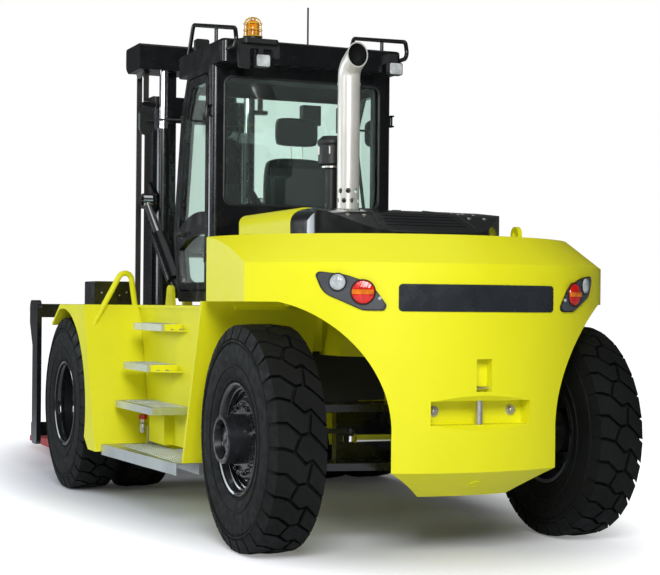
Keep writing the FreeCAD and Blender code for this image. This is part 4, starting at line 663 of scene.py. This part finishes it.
def chain_pins():
    """Pins' places along the chain: up the front, over the sheave and down the rear."""
    front, bend = SHEAVE_Z - CHAIN_FRONT_LOW, math.pi * CHAIN_ARC_R
    total = front + bend + (SHEAVE_Z - CHAIN_REAR_LOW)
    points, run = [], 0.0
    while run < total:
        if run < front:
            points.append(Vector((SHEAVE_X + CHAIN_ARC_R, 0, CHAIN_FRONT_LOW + run)))
        elif run < front + bend:
            t = (run - front) / CHAIN_ARC_R
            points.append(Vector((SHEAVE_X, 0, SHEAVE_Z))
                          + Vector((math.cos(t), 0, math.sin(t))) * CHAIN_ARC_R)
        else:
            points.append(Vector((SHEAVE_X - CHAIN_ARC_R, 0, SHEAVE_Z - (run - front - bend))))
        run += CHAIN_LINK / 2
    return points


def plate_outline(a, b):
    """Link plate between two pins, with round ends."""
    along = (b - a).normalized()
    wide = Vector((along.z, 0, -along.x))
    return [end + (along * math.cos(math.radians(turn)) + wide * math.sin(math.radians(turn))) * PLATE_R
            for end, first in ((a, 90), (b, -90)) for turn in range(first, first + 181, 45)]


for side, s in SIDES:
    points = chain_pins()
    links, pins = Form(), Form()
    for i in range(len(points) - 2):
        outline = plate_outline(points[i], points[i + 2])
        for y in PLATES[i % 2]:
            links.loft([[(p.x, s * CHAIN_Y + y + face, p.z) for p in outline]
                        for face in (-PLATE_HALF, PLATE_HALF)])
    for p in points:
        pins.rod((p.x, s * CHAIN_Y - PIN_HALF, p.z), (p.x, s * CHAIN_Y + PIN_HALF, p.z), PIN_R, 8)
    chain = links.make(f"chain_links_{side}", "chain", "inner_mast", 0, 20)
    pins.make(f"chain_pins_{side}", "steel", "inner_mast", 0, 40)
    sheave = Form()
    sheave.turned([(-30, 30), (-30, 108), (-22, 110), (-20, SHEAVE_R - 3), (20, SHEAVE_R - 3), (22, 110),
                   (30, 108), (30, 30)], (SHEAVE_X, s * CHAIN_Y, SHEAVE_Z), ACROSS, 48)
    sheave.rod((SHEAVE_X, s * CHAIN_Y - 40, SHEAVE_Z), (SHEAVE_X, s * CHAIN_Y + 40, SHEAVE_Z), 25)
    sheave.make(f"sheave_{side}", "steel", "inner_mast", 0, 30)
    if s > 0:
        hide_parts("lift_chains")

# ---- roof fittings: beacon in its cage, and the work lamps' glass ----
ROOF_TOP, ROOF_LOW, ROOF_REAR, ROOF_FRONT = 3050, 2900, 1590, 2520
BEACON = (1670, 400)
CAGE_WIRE, CAGE_BARS = 3.2, 8
UP = (0, 0, 1)
beacon_lens, beacon_foot, cage = Form(), Form(), Form()
beacon_base = (*BEACON, ROOF_TOP)
beacon_lens.turned([(34, 43), (60, 44), (112, 43), (130, 36), (141, 18), (144, 0.5)], beacon_base, UP, 40)
beacon_foot.turned([(0, 0.5), (0, 105), (8, 105), (8, 62), (30, 60), (36, 46)], beacon_base, UP, 48)
beacon_foot.rod((*BEACON, ROOF_TOP + 40), (*BEACON, ROOF_TOP + 110), 20, 16)
for i in range(CAGE_BARS):
    a = 2 * math.pi * i / CAGE_BARS
    cage.tube([(BEACON[0] + r * math.cos(a), BEACON[1] + r * math.sin(a), ROOF_TOP + h)
               for h, r in ((30, 62), (60, 60), (118, 58), (140, 48), (154, 26), (158, 0))], CAGE_WIRE, 8)
for h, r in ((32, 62), (74, 60), (116, 59)):
    cage.tube([(x, y, ROOF_TOP + h) for x, y in circle(BEACON, r, 32)], CAGE_WIRE, 8, True)
beacon_glass = beacon_lens.make("beacon_lens", "amber", "chassis", 0, 40)
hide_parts("beacon")
beacon_foot.make("beacon_foot", "plastic", "chassis", 0)
cage.make("beacon_cage", "yellow_wire", "chassis", 0, 50)

LAMP_HALF_Y, LAMP_HALF_Z, LAMP_CORNER = 45, 37, 12
REAR_LAMP_X, FRONT_LAMP_X = ROOF_REAR - 81, ROOF_FRONT + 16
lamp_edge = rounded_box((-LAMP_HALF_Y, LAMP_HALF_Y), (-LAMP_HALF_Z, LAMP_HALF_Z), LAMP_CORNER, 4)
faces = Form()
for x, y, z, sign in ((REAR_LAMP_X, 385, ROOF_LOW + 5, -1), (REAR_LAMP_X, -560, ROOF_LOW + 18, -1),
                      (FRONT_LAMP_X, 470, ROOF_TOP + 98, 1), (FRONT_LAMP_X, 245, ROOF_TOP + 98, 1)):
    faces.loft([[(x + sign * proud, y + a, z + b) for a, b in lamp_edge] for proud in (0.5, 3)])
    bowl = [(sign * depth, r) for depth, r in ((3, 30), (5, 30), (1.5, 12), (1, 0.5))]
    faces.turned(bowl, (x, y, z), (1, 0, 0), 32)
faces.make("lamp_faces", "face", "chassis", 0.8, segments=1)

# ---- hood: two rows of bolts and the diagonal trims on the lid ----
LID_TAIL, LID_KNEE, LID_FRONT = (-160, 1745), (80, 1862), (420, 1900)
TRIM_TAIL, TRIM_FRONT, TRIM_STEPS = (-95, 300), (360, 195), 10


def lid_height(x):
    """Top of the lid's tail slope at station x, from part.py's profile."""
    a, b = (LID_TAIL, LID_KNEE) if x < LID_KNEE[0] else (LID_KNEE, LID_FRONT)
    return a[1] + (b[1] - a[1]) * (x - a[0]) / (b[0] - a[0])


lid_bolts, trims = Form(), Form()
for s in (1, -1):
    for row in range(2):
        for k in range(4):
            x, y = 40 + 75 * k, s * (330 - 30 * k + 100 * row)
            lid_bolts.turned([(0, 15), (3, 15), (5, 10), (6, 0.5)], (x, y, lid_height(x) - 2),
                             (-0.25, 0, 1), 16)
    rings = []
    for k in range(TRIM_STEPS + 1):
        x = TRIM_TAIL[0] + (TRIM_FRONT[0] - TRIM_TAIL[0]) * k / TRIM_STEPS
        y = s * (TRIM_TAIL[1] + (TRIM_FRONT[1] - TRIM_TAIL[1]) * k / TRIM_STEPS)
        z = lid_height(x)
        rings.append([(x, y - 9, z - 12), (x, y - 6, z + 5), (x, y + 6, z + 5), (x, y + 9, z - 12)])
    trims.loft(rings)
lid_bolts.make("lid_bolts", "zinc", "hood_lid", 0, 40)
trims.make("lid_trims", "plastic", "hood_lid", 1.5)

# ---- cab: rear window's gasket, and what shows inside ----
WINDOW_HALF, WINDOW_Z, WINDOW_CORNER, GASKET = 566, (1979, 2836), 64, 18


def window_edge(shrink, corner):
    """Outline (y, z) of the rear window, moved inward by shrink."""
    half = WINDOW_HALF - shrink
    return rounded_box((-half, half), (WINDOW_Z[0] + shrink, WINDOW_Z[1] - shrink), corner, 8)


def slab(y_half, x, z):
    """Level four-cornered ring for a loft, symmetric about the truck's middle."""
    return [(x[0], -y_half, z), (x[1], -y_half, z), (x[1], y_half, z), (x[0], y_half, z)]


gasket, inside, bright = Form(), Form(), Form()
window, inner = window_edge(0, WINDOW_CORNER), window_edge(GASKET, WINDOW_CORNER - 12)
ridge = [((a[0] + b[0]) / 2, (a[1] + b[1]) / 2) for a, b in zip(window, inner)]
gasket.loft([[(x, y, z) for y, z in edge] for x, edge in ((1757, window), (1754, ridge), (1757, inner),
                                                          (1762, inner))], caps=False)
gasket.make("rear_window_gasket", "plastic", "chassis", 0)

# Dash with its foot and cowl, the selector's lever, and four levers for mast and forks.
LEVER_Y, CONSOLE_TOP = 290, 1900
inside.box((2330, 2480), (-330, 330), (1690, 1760))
inside.box((2370, 2450), (-250, 250), (1640, 1690))
inside.loft([slab(200, (2300, 2420), 1760), slab(160, (2350, 2420), 1900)])
inside.rod((2060, LEVER_Y, CONSOLE_TOP), (2040, LEVER_Y, 2010), 9, 12)
inside.turned([(0, 8), (6, 22), (26, 26), (44, 18), (50, 0.5)], (2040, LEVER_Y, 2000), UP, 20)
for k in range(4):
    x = 2126 + 45 * k
    inside.rod((x + 4, LEVER_Y, CONSOLE_TOP), (x, LEVER_Y, 1955), 5, 10)
    inside.turned([(0, 10), (14, 12), (20, 0.5)], (x, LEVER_Y, 1950), UP, 12)
inside.make("cab_controls", "plastic", "chassis", 2)
# Roof lining, front console with two units below it, side console, post cover, stay and bulkhead.
lining = Form()
lining.box((1800, 2440), (-590, 590), (2852, 2897))
lining.loft([slab(560, (2290, 2330), 2770), slab(560, (2200, 2400), 2852)])
for y_span, z_span in (((-330, -190), (2600, 2740)), ((-590, -470), (2560, 2740))):
    lining.box((2240, 2310), y_span, z_span)
lining.box((1830, 2150), (-585, -430), (1700, 1990))
lining.box((1790, 1830), (-600, -520), (1990, 2850))
lining.rod((1960, -540, 1980), (2180, -560, 2600), 12, 12)
lining.box((2200, 2480), (-560, 560), (1690, 1800))
lining.make("cab_lining", "plastic", "chassis", 6)
# Pouch on the seat's back, and the display on its post.
pouch = Form()
pouch.box((1836, 1850), (-90, 90), (1980, 2230))
pouch.make("seat_pouch", "pouch", "chassis", 3)
bright.loft([[(x, -300, z), (x + 12, -300, z), (x + 12, -140, z), (x, -140, z)]
             for x, z in ((2290, 1990), (2310, 2110))])
bright.rod((2335, -220, 1760), (2312, -220, 2000), 10, 12)
bright.make("cab_display", "plastic", "chassis", 3)


# ---- soft seat: base, back and headrest ----
SEAM_SWELL, EDGE_ROUND = 0.25, 0.10


def cushion(name, low, high, puff, bulge_axis):
    """Quilted block: rounded edges, and faces that swell outward between the seams."""
    mesh = D.meshes.new(name)
    form = bmesh.new()
    bmesh.ops.create_cube(form, size=1.0)
    bmesh.ops.subdivide_edges(form, edges=form.edges, cuts=11, use_grid_fill=True)
    centre = (at(*low) + at(*high)) / 2
    size = at(*high) - at(*low)
    for vert in form.verts:
        u = vert.co * 2
        swell = [1 - abs(c) ** 4 for c in u]
        seam = 0.5 + 0.5 * math.cos(u[(bulge_axis + 1) % 3] * math.pi * 3)
        for axis in range(3):
            others = [swell[k] for k in range(3) if k != axis]
            vert.co[axis] *= 1 - EDGE_ROUND * (1 - others[0] * others[1])
        if abs(u[bulge_axis]) > 0.99:
            grow = puff * swell[(bulge_axis + 1) % 3] * swell[(bulge_axis + 2) % 3]
            grow *= 1 - SEAM_SWELL + SEAM_SWELL * seam
            vert.co[bulge_axis] += math.copysign(grow, u[bulge_axis])
        vert.co = Vector([vert.co[k] * size[k] for k in range(3)]) + centre
    form.to_mesh(mesh)
    form.free()
    obj = D.objects.new(name, mesh)
    SCENE.collection.objects.link(obj)
    mesh.materials.append(M["seat"])
    mesh.polygons.foreach_set("use_smooth", [True] * len(mesh.polygons))
    smooth = obj.modifiers.new("smooth", "SUBSURF")
    smooth.levels = smooth.render_levels = 1
    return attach(obj, "chassis")


base = cushion("seat_base_cushion", (1920, -240, 1705), (2262, 240, 1798), 0.06, 2)
cushion("seat_back_cushion", (1855, -230, 1822), (1928, 230, 2322), 0.09, 0)
cushion("seat_headrest", (1855, -150, 2405), (1918, 150, 2595), 0.09, 0)
posts = Form()
for y in (-40, 40):
    posts.rod((1885, y, 2300), (1885, y, 2430), 7, 12)
posts.make("headrest_posts", "zinc", "chassis", 0)
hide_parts("seat_cushions")

# ---- doors: handles and hinge bolts ----
for side, s in SIDES:
    grip = Form()
    grip.tube([(2350, 650, 1800), (2350, 690, 1806), (2290, 694, 1812), (2230, 692, 1818),
               (2230, 650, 1822)], 9, 12)
    grip.box((2330, 2372), (648, 655), (1780, 1822))
    grip.box((2210, 2250), (648, 655), (1800, 1842))
    for z in (1640, 2600):
        for x in (1845, 1862):
            grip.nut((x, 657, z), ACROSS, 7, 5)
    grip.on_side(s).make(f"door_handle_{side}", "plastic", f"door_{side}", 1)

# ---- steps: raised tread pattern, side bolts and the drain valve below ----
# Top, outer edge, rear and front end of each step.
STEPS = ((1206, 1020, 1610, 2250), (945, 1085, 1690, 2250), (690, 1140, 1400, 2240), (400, 1150, 860, 2220))
STUD_X, STUD_Y, STUD_INNER_Y = 42, 30, 905
VALVE = (2230, 952, 470)
for side, s in SIDES:
    tread = Form()
    for top, y_out, x0, x1 in STEPS:
        for i in range(int((x1 - x0 - 60) / STUD_X)):
            for j in range(int((y_out - STUD_INNER_Y) / STUD_Y)):
                x = x0 + 40 + STUD_X * i + (STUD_X / 2 if j % 2 else 0)
                y = STUD_INNER_Y + 7 + STUD_Y * j
                tread.turned([(0, 10.5), (3.2, 9), (3.4, 5.5), (0, 4)], (x, y, top), UP, 10)
    tread.on_side(s).make(f"step_tread_{side}", "galv", "chassis", 0, 50)
    bolts = Form()
    for top, y_out, x0, _ in STEPS[:2]:
        bolts.turned([(0, 14), (4, 14), (9, 9), (9, 0.5)], (x0 - 70, y_out - 110, top - 37), UP, 16)
        bolts.turned([(0, 11), (4, 11), (7, 7), (7, 0.5)], (x0 - 35, y_out - 60, top - 37), UP, 16)
    bolts.on_side(s).make(f"step_bolts_{side}", "zinc", "chassis", 0, 40)
    foot = (VALVE[0], s * VALVE[1], VALVE[2])
    valve = Form().turned([(0, 26), (60, 26), (66, 20), (90, 20)], foot, UP, 24)
    valve.make(f"drain_valve_{side}", "zinc", "chassis", 0, 40)
    knob = Form().turned([(90, 0.5), (90, 30), (118, 30), (122, 22), (122, 0.5)], foot, UP, 24)
    knob.make(f"valve_cap_{side}", "red_lens", "chassis", 0, 40)

# ---- exhaust and air intake: clamp, soot inside the mouth, band and clips ----
STACK, INTAKE = (1060, -20), (1330, -20)
clamp = Form()
clamp.tube([(x, y, 1918) for x, y in circle(STACK, 72.5, 48)], 5, 8, True)
clamp.make("stack_clamp", "stainless", "chassis", 0, 60)
MOUTH_Z, MOUTH_HALF_Y, MOUTH_HALF_Z = 2887.7, 62.6, 71
soot = Form()
turns = [2 * math.pi * i / 40 for i in range(40)]
soot.loft([[(x, STACK[1] + MOUTH_HALF_Y * k * math.cos(t), MOUTH_Z + lift + MOUTH_HALF_Z * k * math.sin(t))
            for t in turns]
           for x, k, lift in ((932, 1.0, 0), (938, 0.985, -3), (965, 0.9, -18), (985, 0.6, -28),
                              (990, 0.01, -30))],
          caps=False)
soot.make("stack_soot", "soot", "chassis", 0, 60)
band = Form()
band.turned([(-24, 45), (-24, 63), (-8, 63), (-8, 45)], (*INTAKE, 2240), UP, 40)
for k in range(6):
    a = math.pi * (0.5 + k / 3)
    x, y = INTAKE[0] + 86 * math.cos(a), INTAKE[1] + 86 * math.sin(a)
    band.rod((x, y, 2300), (x, y, 2350), 6, 10)
band.make("intake_band", "zinc", "chassis", 0, 40)


# ---- studio ----
# Whiteness the camera sees on the floor, near the truck and far off, and the distances between; the low
# whiteness near the truck is painted shade round its footprint, laid over the floor's real cast shadows.
FLOOR_NEAR, FLOOR_FAR, FADE_FROM, FADE_TO, FADE_LONG = 0.02, 0.95, 1.15, 2.3, 0.40
FLOOR_HALF = 200
# Strength of the world on matt surfaces and in reflections.
DIFFUSE_WORLD, GLOSSY_WORLD = 0.15, 0.06


def area(name, place, aim, size, power, size_y=None):
    """Area lamp at a place, aimed at a point; sizes in metres, power in watts."""
    lamp = D.lights.new(name, "AREA")
    lamp.energy = power
    lamp.size = size
    if size_y:
        lamp.shape = "RECTANGLE"
        lamp.size_y = size_y
    obj = D.objects.new(name, lamp)
    obj.location = place
    obj.rotation_euler = (Vector(aim) - Vector(place)).to_track_quat("-Z", "Y").to_euler()
    SCENE.collection.objects.link(obj)
    return obj


ground = Net("floor_white_painted_shade")
seen_by = ground.add("ShaderNodeLightPath")
direct = ground.math("MAXIMUM", seen_by.outputs["Is Camera Ray"], seen_by.outputs["Is Transmission Ray"])
spread = ground.add("ShaderNodeMapping")
spread.inputs["Scale"].default_value = (FADE_LONG, 1.0, 1.0)
ground.link(ground.coords.outputs["Object"], spread.inputs["Vector"])
away = ground.add("ShaderNodeVectorMath")
away.operation = "LENGTH"
ground.link(spread.outputs["Vector"], away.inputs[0])
# Painted shade: the glow the camera sees dims towards the truck, so the floor round it is darker than the
# lamps alone make it.
painted_shade_fade = ground.add("ShaderNodeMapRange")
painted_shade_fade.interpolation_type = "SMOOTHSTEP"
for key, value in (("From Min", FADE_FROM), ("From Max", FADE_TO),
                   ("To Min", FLOOR_NEAR), ("To Max", FLOOR_FAR)):
    painted_shade_fade.inputs[key].default_value = value
ground.link(away.outputs["Value"], painted_shade_fade.inputs["Value"])
floor_tone = ground.ramp(ground.noise(0.4, 2), [(0.3, (0.82, 0.84, 0.89)), (0.7, (0.84, 0.86, 0.91))])
floor_mat = ground.set(Base_Color=floor_tone, Roughness=0.9, Specular_IOR_Level=0.0,
                       Emission_Color=(1.0, 1.0, 1.0),
                       Emission_Strength=ground.math("MULTIPLY", direct, painted_shade_fade.outputs["Result"]))
corners = [(-FLOOR_HALF, -FLOOR_HALF, 0), (FLOOR_HALF, -FLOOR_HALF, 0), (FLOOR_HALF, FLOOR_HALF, 0),
           (-FLOOR_HALF, FLOOR_HALF, 0)]
floor_mesh = D.meshes.new("floor")
floor_mesh.from_pydata(corners, [], [(0, 1, 2, 3)])
floor_mesh.materials.append(floor_mat)
floor = D.objects.new("floor", floor_mesh)
SCENE.collection.objects.link(floor)

world = D.worlds.new("studio")
SCENE.world = world
world.use_nodes = True
tree = world.node_tree
tree.nodes.clear()
out = tree.nodes.new("ShaderNodeOutputWorld")
back = tree.nodes.new("ShaderNodeBackground")
back.inputs["Color"].default_value = (1, 1, 1, 1)
path = tree.nodes.new("ShaderNodeLightPath")


def world_math(kind, a, b):
    node = tree.nodes.new("ShaderNodeMath")
    node.operation = kind
    for socket, value in zip(node.inputs, (a, b)):
        if isinstance(value, float):
            socket.default_value = value
        else:
            tree.links.new(value, socket)
    return node.outputs[0]


# White where the camera sees it, alone or through glass; dimmer for paint to mirror.
through = world_math("MULTIPLY", path.outputs["Is Transmission Ray"],
                     world_math("LESS_THAN", path.outputs["Diffuse Depth"], 0.5))
looked_at = world_math("MAXIMUM", path.outputs["Is Camera Ray"], through)
mirrored = world_math("MULTIPLY", path.outputs["Is Glossy Ray"], GLOSSY_WORLD - DIFFUSE_WORLD)
unseen = world_math("ADD", mirrored, DIFFUSE_WORLD)
lift = world_math("MULTIPLY", looked_at, 1.0 - DIFFUSE_WORLD)
tree.links.new(world_math("ADD", unseen, lift), back.inputs["Strength"])
tree.links.new(back.outputs[0], out.inputs[0])

area("key_tail", (-11.0, 3.8, 5.6), (-2.6, 0, 1.1), 3.6, 730)
area("key_left", (-4.0, 9.5, 4.4), (-0.8, 0.6, 1.6), 4.5, 145, 3.0)
area("top", (-0.5, 0, 8.5), (-0.5, 0, 0), 7.0, 90)
strip = area("strip_front", (3.2, 6.6, 2.4), (-2.7, 0.6, 1.8), 5.6, 210, 2.0)
strip.data.color = (0.86, 0.94, 1.0)

# ---- camera: solved from the photo's wheels and edges ----
CAMERA_PLACE, CAMERA_YAW, CAMERA_ROLL = (-10.6765, 3.873, 1.338), math.radians(23.34), math.radians(0.53)
CAMERA_LENS, CAMERA_SHIFT = 83.76, (-0.0048, 0.0263)
cam_data = D.cameras.new("camera")
cam_data.sensor_width = 36
cam_data.lens = CAMERA_LENS
cam_data.shift_x, cam_data.shift_y = CAMERA_SHIFT
cam = D.objects.new("camera", cam_data)
look = Vector((math.cos(CAMERA_YAW), -math.sin(CAMERA_YAW), 0)).to_track_quat("-Z", "Y")
cam.matrix_world = (Matrix.Translation(CAMERA_PLACE) @ look.to_matrix().to_4x4()
                    @ Matrix.Rotation(CAMERA_ROLL, 4, "Z"))
SCENE.collection.objects.link(cam)
SCENE.camera = cam
SCENE.view_settings.view_transform = "Standard"
